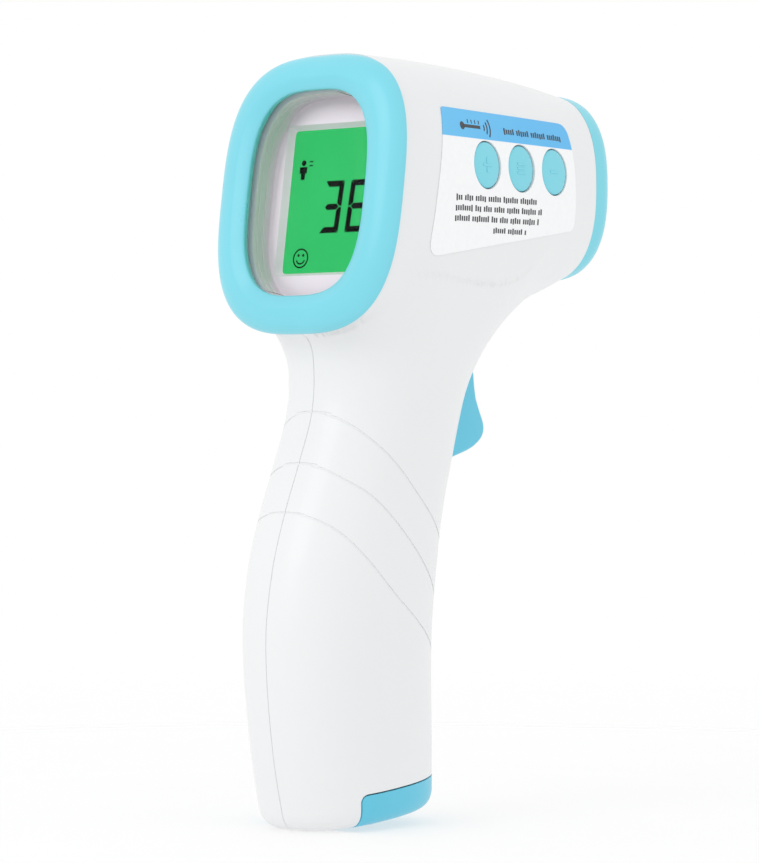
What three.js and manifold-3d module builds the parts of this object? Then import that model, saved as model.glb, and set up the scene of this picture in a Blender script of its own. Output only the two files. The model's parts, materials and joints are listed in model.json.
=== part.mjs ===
// Handheld infrared thermometer with a pistol grip, in millimetres.
// +Z is up, +X is the way the sensor looks, +Y is the user's left.
// The origin lies in the middle of the sloping base face, under the handle. Heights in this file
// are counted from the base's lowest edge, and the whole group is lowered by BASE_HEIGHT at the end.

import * as THREE from 'three';
import { mergeVertices } from 'three/addons/utils/BufferGeometryUtils.js';
import Module from 'manifold-3d';

const wasm = await Module();
wasm.setup();

// ---------------------------------------------------------------- driving dimensions

const WALL = 2;
const GAP = 0.3;
const SEAM_HALF_GAP = 0.15;
const REACH = 62;
const THROAT_Z = 63;

// Head sections across X: [x, half width, top, bottom, corner power]
const HEAD_STATIONS = [
	[ - 16, 22.4, 152.7, 97.2, 2.9 ],
	[ - 4, 21.8, 152.7, 97.4, 2.9 ],
	[ 10, 20.6, 152.5, 98.5, 2.8 ],
	[ 24, 19.4, 152.2, 100.2, 2.7 ],
	[ 38, 18.3, 151.5, 102.4, 2.6 ],
	[ 52, 16.9, 150.4, 105.4, 2.5 ],
	[ 65, 14.8, 148.8, 109.8, 2.5 ],
	[ 78, 12.7, 147, 114.2, 2.5 ],
];

// Handle sections across Z: [z, rear, front, half width, corner power]
const HANDLE_STATIONS = [
	[ - 2, - 17, 19.8, 13.7, 2.35 ],
	[ 16, - 21.2, 20, 14.4, 2.25 ],
	[ 37, - 23.2, 19.6, 15, 2.25 ],
	[ 51, - 21.3, 20.8, 15.1, 2.3 ],
	[ 62, - 17.7, 22.6, 15, 2.3 ],
	[ 72, - 13.4, 25.4, 14.8, 2.3 ],
	[ 82, - 9.6, 28.4, 14.8, 2.3 ],
	[ 92, - 9.2, 32, 15.2, 2.3 ],
	[ 104, - 12, 36.5, 16, 2.3 ],
];
const HANDLE_TOP = 102;
const THROAT_BLEND = 18;
const NECK_BLEND = 4;
const BLEND_FROM_X = - 12;
const BLEND_TO_X = 6;
const BASE_SLOPE = THREE.MathUtils.degToRad( 5.5 );
const BASE_HEIGHT = 1.6;
const BASE_ROUND = 4;

const DISPLAY_TILT = THREE.MathUtils.degToRad( 8.5 );
const DISPLAY_CENTRE = new THREE.Vector3( - 12.9, 0, 125 );
const CASING_REAR_DEPTH = 4;
const REAR_CAP_DEPTH = - 3;
const NOSE_JOIN_X = 63.6;
const NOSE_FRONT_X = 69.2;
const NOSE_CAP_X = 74;

const BEZEL_OUTER = { width: 23.4, height: 27.9, power: 3 };
const BEZEL_INNER = { width: 15.2, height: 20.5, power: 3.1 };
const PANE_DEPTH = 1.1;
const DISPLAY_BORE = { width: 19.8, height: 25.2, power: 3 };
const DISPLAY_BORE_DEPTH = 17;
const RECESS_DEPTH = 8.3;
const FRAME_SIZE = { width: 17.4, height: 22.4, power: 3.1 };
const LCD = { width: 23.9, height: 28.2, rise: - 0.2 };
const BACKLIGHT_THICKNESS = 4.5;

const SIDE_ANGLE = THREE.MathUtils.degToRad( 4.7 );
const SIDE_LEAN = THREE.MathUtils.degToRad( - 2.6 );
const SIDE_CENTRE = new THREE.Vector3( 33.4, - 18.6, 131.1 );
const BUTTON_PITCH = 12.4;
const BUTTON_RADIUS = 4.65;
const BUTTON_FACE = - 0.05;
const FLANGE_RADIUS = 5.6;
const FLANGE_FRONT = 2.9;
const FLANGE_BACK = 3.8;
const PLUNGER_TIP = 4.1;
const SWITCH_TOP = 5.4;
const KEY_BOARD_FRONT = 7.4;
const BUTTON_NAMES = [ 'rear', 'middle', 'front' ];

const DOOR_REAR = - 9.1;
const DOOR_HEIGHT = 6.7;

const TRIGGER_PIVOT = { x: 27.2, z: 93 };
const TRIGGER_HUB_RADIUS = 2.4;
const TRIGGER_WIDTH = 9.4;
const TRIGGER_SLOT = { bottom: 71.8, top: 92.1, halfWidth: 5.1 };
const PIN_RADIUS = 1.1;

const CELL_RADIUS = 5.25;
const CELL_LENGTH = 43.6;
const CELL_SPACING = 5.45;
const CELL_START = 3.1;
const CELL_X = 2.6;

const SCREW_PLACES = [
	{ name: 'case_screw_nose_top', x: 56, z: 143 },
	{ name: 'case_screw_nose_bottom', x: 51, z: 110.2 },
	{ name: 'case_screw_neck', x: - 3.6, z: 85 },
	{ name: 'case_screw_handle', x: - 14.6, z: 24 },
];
const SCREW_SEAT_Y = 6;

const RIGHT_ANGLE = Math.PI / 2;

// ---------------------------------------------------------------- materials

function plastic( colour, roughness = 0.35 ) {

	return new THREE.MeshStandardMaterial( { color: colour, roughness, metalness: 0 } );

}

function metal( colour, roughness = 0.3 ) {

	return new THREE.MeshStandardMaterial( { color: colour, roughness, metalness: 1 } );

}

const WHITE_PLASTIC = plastic( 0xf4f6f8, 0.3 );
const TEAL_PLASTIC = plastic( 0x7bd6e8, 0.35 );
const DEEP_TEAL_PLASTIC = plastic( 0x63c6e0, 0.35 );
const CLEAR_PLASTIC = new THREE.MeshStandardMaterial( {
	color: 0xe8eef2, roughness: 0.05, metalness: 0, transparent: true, opacity: 0.35,
} );
const LCD_GREEN = plastic( 0x3cbf6e, 0.25 );
const LIGHT_GUIDE = plastic( 0xe6f2e9, 0.4 );
const DARK_PLASTIC = plastic( 0x26282b, 0.45 );
const BOARD_GREEN = plastic( 0x1f6b3c, 0.5 );
const LABEL_FILM = plastic( 0xeff4fa, 0.4 );
const SILICONE_GREY = plastic( 0x8d9297, 0.7 );
const CELL_WRAP = plastic( 0x3a4a66, 0.35 );
const RED_WIRE = plastic( 0xc23a32, 0.5 );
const BLACK_WIRE = plastic( 0x232323, 0.5 );
const WHITE_WIRE = plastic( 0xdedede, 0.5 );
const STEEL = metal( 0xb9bdc1, 0.3 );
const NICKEL = metal( 0xc9c7bf, 0.25 );
const SENSOR_GLASS = plastic( 0x3b3f45, 0.1 );

// ---------------------------------------------------------------- solids and booleans

function solidFrom( geometry ) {

	const bare = geometry.clone();
	bare.deleteAttribute( 'normal' );
	bare.deleteAttribute( 'uv' );
	const merged = mergeVertices( bare, 1e-4 );
	const vertProperties = new Float32Array( merged.attributes.position.array );
	const triVerts = new Uint32Array( merged.index.array );
	if ( signedVolume( vertProperties, triVerts ) < 0 ) {

		triVerts.reverse();

	}

	return new wasm.Manifold( new wasm.Mesh( { numProp: 3, vertProperties, triVerts } ) );

}

function signedVolume( points, corners ) {

	const a = new THREE.Vector3();
	const b = new THREE.Vector3();
	const c = new THREE.Vector3();
	let volume = 0;
	for ( let i = 0; i < corners.length; i += 3 ) {

		a.fromArray( points, corners[ i ] * 3 );
		b.fromArray( points, corners[ i + 1 ] * 3 );
		c.fromArray( points, corners[ i + 2 ] * 3 );
		volume += a.dot( b.cross( c ) );

	}

	return volume / 6;

}

function geometryFrom( solid ) {

	const mesh = solid.getMesh();
	const geometry = new THREE.BufferGeometry();
	geometry.setAttribute( 'position', new THREE.BufferAttribute( new Float32Array( mesh.vertProperties ), 3 ) );
	geometry.setIndex( new THREE.BufferAttribute( new Uint32Array( mesh.triVerts ), 1 ) );
	geometry.computeVertexNormals();
	return geometry;

}

function boxSolid( low, high ) {

	const size = high.map( ( value, axis ) => value - low[ axis ] );
	const middle = high.map( ( value, axis ) => ( value + low[ axis ] ) / 2 );
	return solidFrom( new THREE.BoxGeometry( ...size ).translate( ...middle ) );

}

function rodAlongY( radius, fromY, toY, x = 0, z = 0, sides = 20 ) {

	const rod = new THREE.CylinderGeometry( radius, radius, Math.abs( toY - fromY ), sides );
	return rod.translate( x, ( fromY + toY ) / 2, z );

}

function rodAlongX( radius, fromX, toX, y = 0, z = 0, sides = 24 ) {

	const rod = new THREE.CylinderGeometry( radius, radius, toX - fromX, sides ).rotateZ( - RIGHT_ANGLE );
	return rod.translate( ( fromX + toX ) / 2, y, z );

}

function rodAlongZ( radius, fromZ, toZ, x = 0, y = 0, sides = 24 ) {

	const rod = new THREE.CylinderGeometry( radius, radius, toZ - fromZ, sides ).rotateX( RIGHT_ANGLE );
	return rod.translate( x, y, ( fromZ + toZ ) / 2 );

}

// An outline drawn in (Y, Z), pushed along +X.
function extrudeAlongX( shape, fromX, toX ) {

	const options = { depth: toX - fromX, bevelEnabled: false, curveSegments: 4 };
	const slab = new THREE.ExtrudeGeometry( shape, options );
	const turn = new THREE.Matrix4().makeBasis(
		new THREE.Vector3( 0, 1, 0 ), new THREE.Vector3( 0, 0, 1 ), new THREE.Vector3( 1, 0, 0 ) );
	return slab.applyMatrix4( turn ).translate( fromX, 0, 0 );

}

// An outline drawn in (X, Z), pushed along Y and centred on the given span.
function extrudeAlongY( shape, fromY, toY ) {

	const options = { depth: toY - fromY, bevelEnabled: false, curveSegments: 8 };
	const slab = new THREE.ExtrudeGeometry( shape, options );
	return slab.rotateX( RIGHT_ANGLE ).translate( 0, toY, 0 );

}

function superellipsePoint( outline, angle ) {

	const c = Math.cos( angle );
	const s = Math.sin( angle );
	const size = ( Math.abs( c / outline.width ) ** outline.power
		+ Math.abs( s / outline.height ) ** outline.power ) ** ( - 1 / outline.power );
	return new THREE.Vector2( c * size, s * size );

}

function superellipseShape( outline, steps = 36 ) {

	const points = [];
	for ( let i = 0; i < steps; i ++ ) {

		points.push( superellipsePoint( outline, evenAngle( outline, i, steps ) ) );

	}

	return new THREE.Shape( points );

}

// Spreads the steps evenly along an outline that is longer one way than the other.
function evenAngle( outline, step, steps ) {

	const turn = step / steps * 2 * Math.PI;
	return Math.atan2( outline.height * Math.sin( turn ), outline.width * Math.cos( turn ) );

}

function roundedRectShape( width, height, radius, centreX = 0, centreY = 0 ) {

	const x = centreX - width / 2;
	const y = centreY - height / 2;
	const shape = new THREE.Shape();
	shape.moveTo( x + radius, y );
	shape.lineTo( x + width - radius, y );
	shape.absarc( x + width - radius, y + radius, radius, - RIGHT_ANGLE, 0 );
	shape.absarc( x + width - radius, y + height - radius, radius, 0, RIGHT_ANGLE );
	shape.absarc( x + radius, y + height - radius, radius, RIGHT_ANGLE, Math.PI );
	shape.absarc( x + radius, y + radius, radius, Math.PI, Math.PI + RIGHT_ANGLE );
	return shape;

}

// A closed profile of [blend, depth] pairs carried round two outlines: blend 0 lies on the
// inner outline, 1 on the outer one, and depth runs along +X.
function profileRing( profile, inner, outer, steps ) {

	const loop = profile.map( ( [ blend, depth ] ) => new THREE.Vector2( 1 + blend, depth ) );
	loop.push( loop[ 0 ].clone() );
	const ring = new THREE.LatheGeometry( loop, steps );
	const position = ring.attributes.position;
	for ( let i = 0; i < position.count; i ++ ) {

		const x = position.getX( i );
		const z = position.getZ( i );
		const blend = Math.hypot( x, z ) - 1;
		const step = Math.atan2( z, x ) / ( 2 * Math.PI ) * steps;
		const low = superellipsePoint( inner, evenAngle( inner, step, steps ) );
		const high = superellipsePoint( outer, evenAngle( outer, step, steps ) );
		low.lerp( high, blend );
		position.setXYZ( i, position.getY( i ), low.x, low.y );

	}

	return ring;

}

// ---------------------------------------------------------------- casing surface

function stationAt( stations, at ) {

	const last = stations.length - 1;
	const place = THREE.MathUtils.clamp( at, stations[ 0 ][ 0 ], stations[ last ][ 0 ] );
	let i = 0;
	while ( i < last - 1 && place > stations[ i + 1 ][ 0 ] ) i += 1;
	const span = stations[ i + 1 ][ 0 ] - stations[ i ][ 0 ];
	const t = ( place - stations[ i ][ 0 ] ) / span;
	const before = stations[ Math.max( i - 1, 0 ) ];
	const start = stations[ i ];
	const end = stations[ i + 1 ];
	const after = stations[ Math.min( i + 2, last ) ];
	return start.slice( 1 ).map( ( value, k ) => {

		const column = k + 1;
		const startSlope = ( end[ column ] - before[ column ] ) / ( end[ 0 ] - before[ 0 ] ) * span;
		const endSlope = ( after[ column ] - value ) / ( after[ 0 ] - start[ 0 ] ) * span;
		const rise = end[ column ] - value;
		return value + t * ( startSlope
			+ t * ( 3 * rise - 2 * startSlope - endSlope + t * ( startSlope + endSlope - 2 * rise ) ) );

	} );

}

// Distance from a superellipse section, negative inside it.
function sectionDistance( a, b, halfA, halfB, power ) {

	const u = Math.abs( a ) / halfA;
	const v = Math.abs( b ) / halfB;
	const size = Math.max( ( u ** power + v ** power ) ** ( 1 / power ), 1e-6 );
	const steepness = Math.hypot( ( u / size ) ** ( power - 1 ) / halfA, ( v / size ) ** ( power - 1 ) / halfB );
	return ( size - 1 ) / steepness;

}

function smoothUnion( a, b, reach ) {

	const overlap = Math.max( reach - Math.abs( a - b ), 0 ) / reach;
	return Math.min( a, b ) - overlap * overlap * reach / 4;

}

function displayDepth( x, z ) {

	return ( x - DISPLAY_CENTRE.x ) * Math.cos( DISPLAY_TILT )
		- ( z - DISPLAY_CENTRE.z ) * Math.sin( DISPLAY_TILT );

}

// Distance outside the casing's skin, which is moved inwards by the given inset.
function casingDistance( x, y, z, inset ) {

	const [ headWidth, top, bottom, headPower ] = stationAt( HEAD_STATIONS, x );
	const head = sectionDistance( y, z - ( top + bottom ) / 2, headWidth, ( top - bottom ) / 2, headPower );
	const cappedHead = Math.max( head, x - NOSE_CAP_X, REAR_CAP_DEPTH - displayDepth( x, z ) );
	const [ rear, front, handleWidth, handlePower ] = stationAt( HANDLE_STATIONS, z );
	const side = sectionDistance( x - ( rear + front ) / 2, y, ( front - rear ) / 2, handleWidth, handlePower );
	const handle = Math.max( side, z - HANDLE_TOP );
	const forward = THREE.MathUtils.smoothstep( x, BLEND_FROM_X, BLEND_TO_X );
	const blend = NECK_BLEND + ( THROAT_BLEND - NECK_BLEND ) * forward;
	const body = smoothUnion( cappedHead, handle, blend );
	const aboveBase = ( z - BASE_HEIGHT ) * Math.cos( BASE_SLOPE ) - x * Math.sin( BASE_SLOPE );
	return - smoothUnion( - body, aboveBase, BASE_ROUND ) + inset;

}

// The cutting planes that the skin is drawn on: level ones up the handle, a fan round the
// throat under the nose, and upright ones along the nose. Each is a far point and a direction.
function sweepPlanes( inset ) {

	const planes = [];
	const addPlane = ( x, z, angle ) => {

		planes.push( { x, z, across: new THREE.Vector2( - Math.cos( angle ), Math.sin( angle ) ) } );

	};

	const baseHeights = [ 0.01, 0.3, 1, 2.2, 4 ];
	baseHeights.forEach( ( height ) => {

		const above = height + inset;
		const x = REACH * Math.cos( BASE_SLOPE ) - above * Math.sin( BASE_SLOPE );
		const z = BASE_HEIGHT + REACH * Math.sin( BASE_SLOPE ) + above * Math.cos( BASE_SLOPE );
		addPlane( x, z, - BASE_SLOPE );

	} );
	const handleHeights = [ 12, 21, 30, 39, 48, 56 ];
	handleHeights.forEach( ( height ) => {

		const angle = - BASE_SLOPE * Math.max( 1 - height / 30, 0 );
		addPlane( REACH, height - REACH * Math.sin( angle ), angle );

	} );
	const fanDegrees = [ 0, 6, 12, 17, 21, 23, 25, 27, 30, 35, 41, 48, 55, 62, 69, 76, 83, 90 ];
	fanDegrees.forEach( ( degrees ) => addPlane( REACH, THROAT_Z, THREE.MathUtils.degToRad( degrees ) ) );
	[ NOSE_JOIN_X + 2, NOSE_CAP_X - inset - 0.01 ].forEach( ( x ) => addPlane( x, THROAT_Z, RIGHT_ANGLE ) );
	return planes;

}

// Where a ray that starts inside the skin leaves it.
function skinCrossing( distanceAt, reach ) {

	const steps = 60;
	let inside = 0;
	let outside = reach;
	for ( let i = 1; i <= steps; i ++ ) {

		const s = i / steps * reach;
		if ( distanceAt( s ) > 0 ) {

			outside = s;
			break;

		}

		inside = s;

	}

	for ( let i = 0; i < 30; i ++ ) {

		const middle = ( inside + outside ) / 2;
		if ( distanceAt( middle ) > 0 ) outside = middle;
		else inside = middle;

	}

	return inside;

}

// A closed skin: a cylinder's grid whose rings are moved onto the casing's surface.
function casingSkin( inset, segments = 28 ) {

	const planes = sweepPlanes( inset );
	const rings = planes.map( ( plane ) => {

		const at = ( s, y ) => casingDistance(
			plane.x + plane.across.x * s, y, plane.z + plane.across.y * s, inset );
		let enter = 0;
		while ( at( enter, 0 ) > 0 ) enter += 0.5;
		const near = enter - 0.5 + skinCrossing( ( s ) => - at( enter - 0.5 + s, 0 ), 0.5 );
		let leave = 130;
		while ( at( leave, 0 ) > 0 ) leave -= 0.5;
		const far = leave + skinCrossing( ( s ) => at( leave + s, 0 ), 0.5 );
		return { plane, at, middle: ( near + far ) / 2, half: ( far - near ) / 2 };

	} );
	const skin = new THREE.CylinderGeometry( 1, 1, planes.length - 1, segments, planes.length - 1 );
	const position = skin.attributes.position;
	const lowest = - ( planes.length - 1 ) / 2;
	for ( let i = 0; i < position.count; i ++ ) {

		const { plane, at, middle, half } = rings[ Math.round( position.getY( i ) - lowest ) ];
		const x = position.getX( i );
		const z = position.getZ( i );
		const onAxis = Math.hypot( x, z ) < 0.5;
		const breadth = 15;
		const direction = new THREE.Vector2( x * half, z * breadth ).normalize();
		const reach = onAxis ? 0 : skinCrossing(
			( s ) => at( middle + direction.x * s, direction.y * s ), half * 1.7 );
		const s = middle + direction.x * reach;
		position.setXYZ( i, plane.x + plane.across.x * s, direction.y * reach, plane.z + plane.across.y * s );

	}

	return solidFrom( skin );

}

// ---------------------------------------------------------------- places

const displayPlace = new THREE.Matrix4()
	.makeRotationY( DISPLAY_TILT )
	.setPosition( DISPLAY_CENTRE );
const sidePlace = new THREE.Matrix4()
	.makeRotationFromEuler( new THREE.Euler( SIDE_LEAN, 0, SIDE_ANGLE, 'ZYX' ) )
	.setPosition( SIDE_CENTRE );
const basePlace = new THREE.Matrix4()
	.makeRotationY( - BASE_SLOPE )
	.setPosition( 0, 0, BASE_HEIGHT );

const thermometer = new THREE.Group();
thermometer.name = 'thermometer';
thermometer.position.z = - BASE_HEIGHT;

function addPiece( name, shape, material, place ) {

	const geometry = shape.isBufferGeometry ? geometryFrom( solidFrom( shape ) ) : geometryFrom( shape );
	const mesh = new THREE.Mesh( geometry, material );
	mesh.name = name;
	if ( place ) mesh.applyMatrix4( place );
	thermometer.add( mesh );
	return mesh;

}

function placed( geometry, place ) {

	return solidFrom( geometry.clone().applyMatrix4( place ) );

}

// ---------------------------------------------------------------- casing halves and battery door

const outerSkin = casingSkin( 0 );
const innerSkin = casingSkin( WALL );
const FAR = 200;

function casingOpenings() {

	const slot = boxSolid(
		[ 16, - TRIGGER_SLOT.halfWidth, TRIGGER_SLOT.bottom ],
		[ REACH, TRIGGER_SLOT.halfWidth, TRIGGER_SLOT.top ] );
	let openings = slot;
	for ( let index = 0; index < 3; index ++ ) {

		const along = ( index - 1 ) * BUTTON_PITCH;
		const hole = rodAlongY( BUTTON_RADIUS + GAP, - 6, 3, along, 0, 28 );
		const pocket = rodAlongY( FLANGE_RADIUS + GAP, FLANGE_FRONT - GAP, FLANGE_BACK + 2, along, 0, 28 );
		openings = openings.add( placed( hole, sidePlace ) ).add( placed( pocket, sidePlace ) );

	}

	return openings;

}

function doorRegion( gap ) {

	const block = new THREE.BoxGeometry( FAR, FAR, FAR );
	block.translate( DOOR_REAR + gap + FAR / 2, 0, DOOR_HEIGHT - gap - FAR / 2 );
	return placed( block, basePlace );

}

function casingShell() {

	const rearBlock = new THREE.BoxGeometry( FAR, FAR, 72 ).translate( CASING_REAR_DEPTH - FAR / 2, 0, 0 );
	const noseBlock = boxSolid( [ NOSE_JOIN_X, - FAR, - FAR ], [ FAR, FAR, FAR ] );
	const bore = extrudeAlongX( superellipseShape( DISPLAY_BORE ), 0, DISPLAY_BORE_DEPTH );
	return outerSkin
		.subtract( innerSkin )
		.subtract( placed( rearBlock, displayPlace ) )
		.subtract( placed( bore, displayPlace ) )
		.subtract( noseBlock );

}

function screwBosses( side, radius ) {

	let bosses = null;
	SCREW_PLACES.forEach( ( { x, z } ) => {

		const boss = solidFrom( rodAlongY( radius, side * SEAM_HALF_GAP, side * 30, x, z, 14 ) );
		bosses = bosses ? bosses.add( boss ) : boss;

	} );
	const pinBoss = solidFrom(
		rodAlongY( 2.7, side * ( TRIGGER_WIDTH / 2 + 0.9 ), side * 30, TRIGGER_PIVOT.x, TRIGGER_PIVOT.z, 16 ) );
	return bosses.add( pinBoss ).intersect( outerSkin );

}

function screwHoles( side ) {

	let holes = solidFrom(
		rodAlongY( PIN_RADIUS + GAP * 0.7, - 8.5, 8.5, TRIGGER_PIVOT.x, TRIGGER_PIVOT.z, 16 ) );
	SCREW_PLACES.forEach( ( { x, z } ) => {

		holes = holes.add( solidFrom( rodAlongY( 1.25, - 8.5, 12, x, z, 12 ) ) );
		if ( side > 0 ) holes = holes.add( solidFrom( rodAlongY( 2.4, SCREW_SEAT_Y, 30, x, z, 16 ) ) );

	} );
	return holes;

}

const shell = casingShell();
const openings = casingOpenings();
const openedShell = shell.subtract( doorRegion( 0 ) );

function casingHalf( side ) {

	const low = side > 0 ? [ - FAR, SEAM_HALF_GAP, - FAR ] : [ - FAR, - FAR, - FAR ];
	const high = side > 0 ? [ FAR, FAR, FAR ] : [ FAR, - SEAM_HALF_GAP, FAR ];
	return openedShell
		.add( screwBosses( side, side > 0 ? 3.4 : 2.7 ) )
		.intersect( boxSolid( low, high ) )
		.subtract( openings )
		.subtract( screwHoles( side ) );

}

addPiece( 'left_shell', casingHalf( 1 ), WHITE_PLASTIC );
addPiece( 'right_shell', casingHalf( - 1 ), WHITE_PLASTIC );

// The door's rear corners are thinned on the inside, so that they pass the cells as it slides off.
function batteryDoor() {

	const cellReach = CELL_SPACING + CELL_RADIUS + GAP;
	const path = new THREE.BoxGeometry( FAR, 2 * cellReach, FAR );
	path.translate( CELL_X + CELL_RADIUS + GAP - FAR / 2, 0, CELL_START - 0.5 + FAR / 2 );
	return shell.intersect( doorRegion( GAP ) ).subtract( placed( path, basePlace ) );

}

addPiece( 'battery_door', batteryDoor(), DEEP_TEAL_PLASTIC );

// ---------------------------------------------------------------- display

const BEZEL_PROFILE = [
	[ 0, CASING_REAR_DEPTH - GAP ], [ 0, 1.04 ], [ 0.11, 0.45 ], [ 0.24, 0.1 ], [ 0.37, 0 ],
	[ 0.56, 0.2 ], [ 0.76, 0.85 ], [ 0.91, 1.9 ], [ 0.98, 2.9 ], [ 1, CASING_REAR_DEPTH - GAP ],
];
addPiece(
	'display_bezel', profileRing( BEZEL_PROFILE, BEZEL_INNER, BEZEL_OUTER, 40 ), TEAL_PLASTIC, displayPlace );

function shrunk( outline, by ) {

	return { width: outline.width - by, height: outline.height - by, power: outline.power };

}

// A clear tub: its pane closes the bezel and its wall reaches back to the white frame.
function windowTub() {

	const outside = superellipseShape( shrunk( BEZEL_INNER, GAP ) );
	const tub = solidFrom( extrudeAlongX( outside, PANE_DEPTH, RECESS_DEPTH ) );
	const inside = extrudeAlongX(
		superellipseShape( shrunk( BEZEL_INNER, GAP + 1.5 ) ), PANE_DEPTH + 1.6, RECESS_DEPTH + 1 );
	return tub.subtract( solidFrom( inside ) );

}

addPiece( 'display_window', windowTub(), CLEAR_PLASTIC, displayPlace );

const frameFront = RECESS_DEPTH + GAP;
const frameRear = frameFront + 2.2;
const lcdFront = frameFront + 1.6;
const lcdBack = lcdFront + 1.9;

// A white tray: its skirt stands round the window's wall and its floor frames the glass panel.
function displayFrame() {

	const outside = superellipseShape( FRAME_SIZE );
	const hollow = superellipseShape( BEZEL_INNER );
	const plate = solidFrom( extrudeAlongX( outside, CASING_REAR_DEPTH, frameRear ) )
		.subtract( solidFrom( extrudeAlongX( hollow, CASING_REAR_DEPTH - 1, frameFront ) ) );
	const sight = roundedRectShape( LCD.width, LCD.height, 0.8, 0, LCD.rise );
	const pocket = roundedRectShape( LCD.width + 3.2, LCD.height + 5.2, 0.6, 0, LCD.rise );
	return plate
		.subtract( solidFrom( extrudeAlongX( sight, frameFront - 1, frameRear + 1 ) ) )
		.subtract( solidFrom( extrudeAlongX( pocket, lcdFront - GAP, frameRear + 1 ) ) );

}

addPiece( 'display_frame', displayFrame(), WHITE_PLASTIC, displayPlace );
addPiece(
	'lcd_panel',
	extrudeAlongX( roundedRectShape( LCD.width + 2.6, LCD.height + 4.6, 0.4, 0, LCD.rise ), lcdFront, lcdBack ),
	LCD_GREEN, displayPlace );
addPiece(
	'backlight',
	extrudeAlongX(
		roundedRectShape( LCD.width + 2, LCD.height + 3, 0.6, 0, LCD.rise ), lcdBack + GAP,
		lcdBack + GAP + BACKLIGHT_THICKNESS ),
	LIGHT_GUIDE, displayPlace );

const boardFront = lcdBack + 2 * GAP + BACKLIGHT_THICKNESS;
const boardBack = boardFront + 1.2;

function mainBoard() {

	const board = solidFrom( extrudeAlongX( roundedRectShape( 30, 38, 1.5, 0, 1 ), boardFront, boardBack ) );
	return board.subtract( solidFrom( rodAlongX( 1.2, boardFront - 1, boardBack + 1, 0, 17, 12 ) ) );

}

addPiece( 'main_board', mainBoard(), BOARD_GREEN, displayPlace );
addPiece(
	'control_chip',
	new THREE.BoxGeometry( 1.2, 8, 8 ).translate( boardBack + GAP * 0.5 + 0.6, 6, - 1 ),
	DARK_PLASTIC, displayPlace );

function buzzer() {

	const can = solidFrom( rodAlongX( 6, boardBack + GAP * 0.5, boardBack + 5, - 6, - 11, 24 ) );
	return can.subtract( solidFrom( rodAlongX( 1, boardBack + 4, boardBack + 6, - 6, - 11, 12 ) ) );

}

addPiece( 'buzzer', buzzer(), DARK_PLASTIC, displayPlace );

// ---------------------------------------------------------------- nose and sensor

const NOSE_OUTLINE = { width: 14.95, height: 19.6, power: 2.5 };
const NOSE_OPENING = { width: 10.9, height: 15.2, power: 2.5 };
const NOSE_RISE = 129.4;
const nosePlace = new THREE.Matrix4().setPosition( 0, 0, NOSE_RISE );
const NOSE_PROFILE = [
	[ 0, NOSE_JOIN_X + GAP ], [ 0, NOSE_FRONT_X - 0.8 ], [ 0.15, NOSE_FRONT_X ], [ 0.62, NOSE_FRONT_X ],
	[ 0.86, NOSE_FRONT_X - 0.9 ], [ 0.96, NOSE_FRONT_X - 2.6 ], [ 1, NOSE_JOIN_X + GAP ],
];
addPiece( 'nose_ring', profileRing( NOSE_PROFILE, NOSE_OPENING, NOSE_OUTLINE, 36 ), TEAL_PLASTIC, nosePlace );

const CONE_MOUTH = 7.6;
const plateFront = 67.4;
const plateBack = 65.8;

function nosePlate() {

	const face = superellipseShape( shrunk( NOSE_OPENING, GAP ) );
	const plate = solidFrom( extrudeAlongX( face, plateBack, plateFront ) );
	return plate.subtract( solidFrom( rodAlongX( CONE_MOUTH + GAP, plateBack - 1, plateFront + 1, 0, 0, 32 ) ) );

}

addPiece( 'nose_plate', nosePlate(), WHITE_PLASTIC, nosePlace );

// The funnel that gathers heat rays onto the sensor.
function sensorCone() {

	const profile = [
		[ CONE_MOUTH, 67 ], [ CONE_MOUTH, 64 ], [ 6.2, 56 ], [ 6.2, 48.5 ],
		[ 5.2, 48.5 ], [ 5.2, 55.2 ], [ 4, 55.2 ], [ 4, 57 ], [ 6.6, 67 ],
	];
	const loop = profile.map( ( [ radius, x ] ) => new THREE.Vector2( radius, x ) );
	loop.push( loop[ 0 ].clone() );
	return new THREE.LatheGeometry( loop, 28 ).rotateZ( - RIGHT_ANGLE );

}

addPiece( 'sensor_cone', sensorCone(), metal( 0x9aa0a6, 0.25 ), nosePlace );

function sensorCan() {

	const can = solidFrom( rodAlongX( 4.6, 49, 54.2 ) ).add( solidFrom( rodAlongX( 4.9, 48.6, 49.2 ) ) );
	return can.subtract( solidFrom( rodAlongX( 2.9, 53, 55 ) ) );

}

addPiece( 'sensor_can', sensorCan(), NICKEL, nosePlace );
addPiece( 'sensor_window', rodAlongX( 2.6, 53.3, 54 ), SENSOR_GLASS, nosePlace );

function sensorBoard() {

	return extrudeAlongX( roundedRectShape( 15, 15, 3 ), 47, 48.2 );

}

addPiece( 'sensor_board', sensorBoard(), BOARD_GREEN, nosePlace );

// ---------------------------------------------------------------- side label and buttons

const LABEL_LIFT = 0.12;
const LABEL_THICKNESS = 0.25;

function labelOutline() {

	const shape = new THREE.Shape();
	shape.moveTo( 7.1, 142.1 );
	shape.lineTo( 50.2, 141.5 );
	shape.quadraticCurveTo( 52.6, 141.4, 53, 139.2 );
	shape.quadraticCurveTo( 54.4, 131, 54.3, 121.2 );
	shape.quadraticCurveTo( 54.2, 119.6, 52.6, 119.3 );
	shape.lineTo( 4.2, 112.4 );
	shape.quadraticCurveTo( 1.5, 112.1, 1.8, 114.8 );
	shape.lineTo( 6, 141.1 );
	shape.quadraticCurveTo( 6.1, 142.1, 7.1, 142.1 );
	return shape;

}

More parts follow.
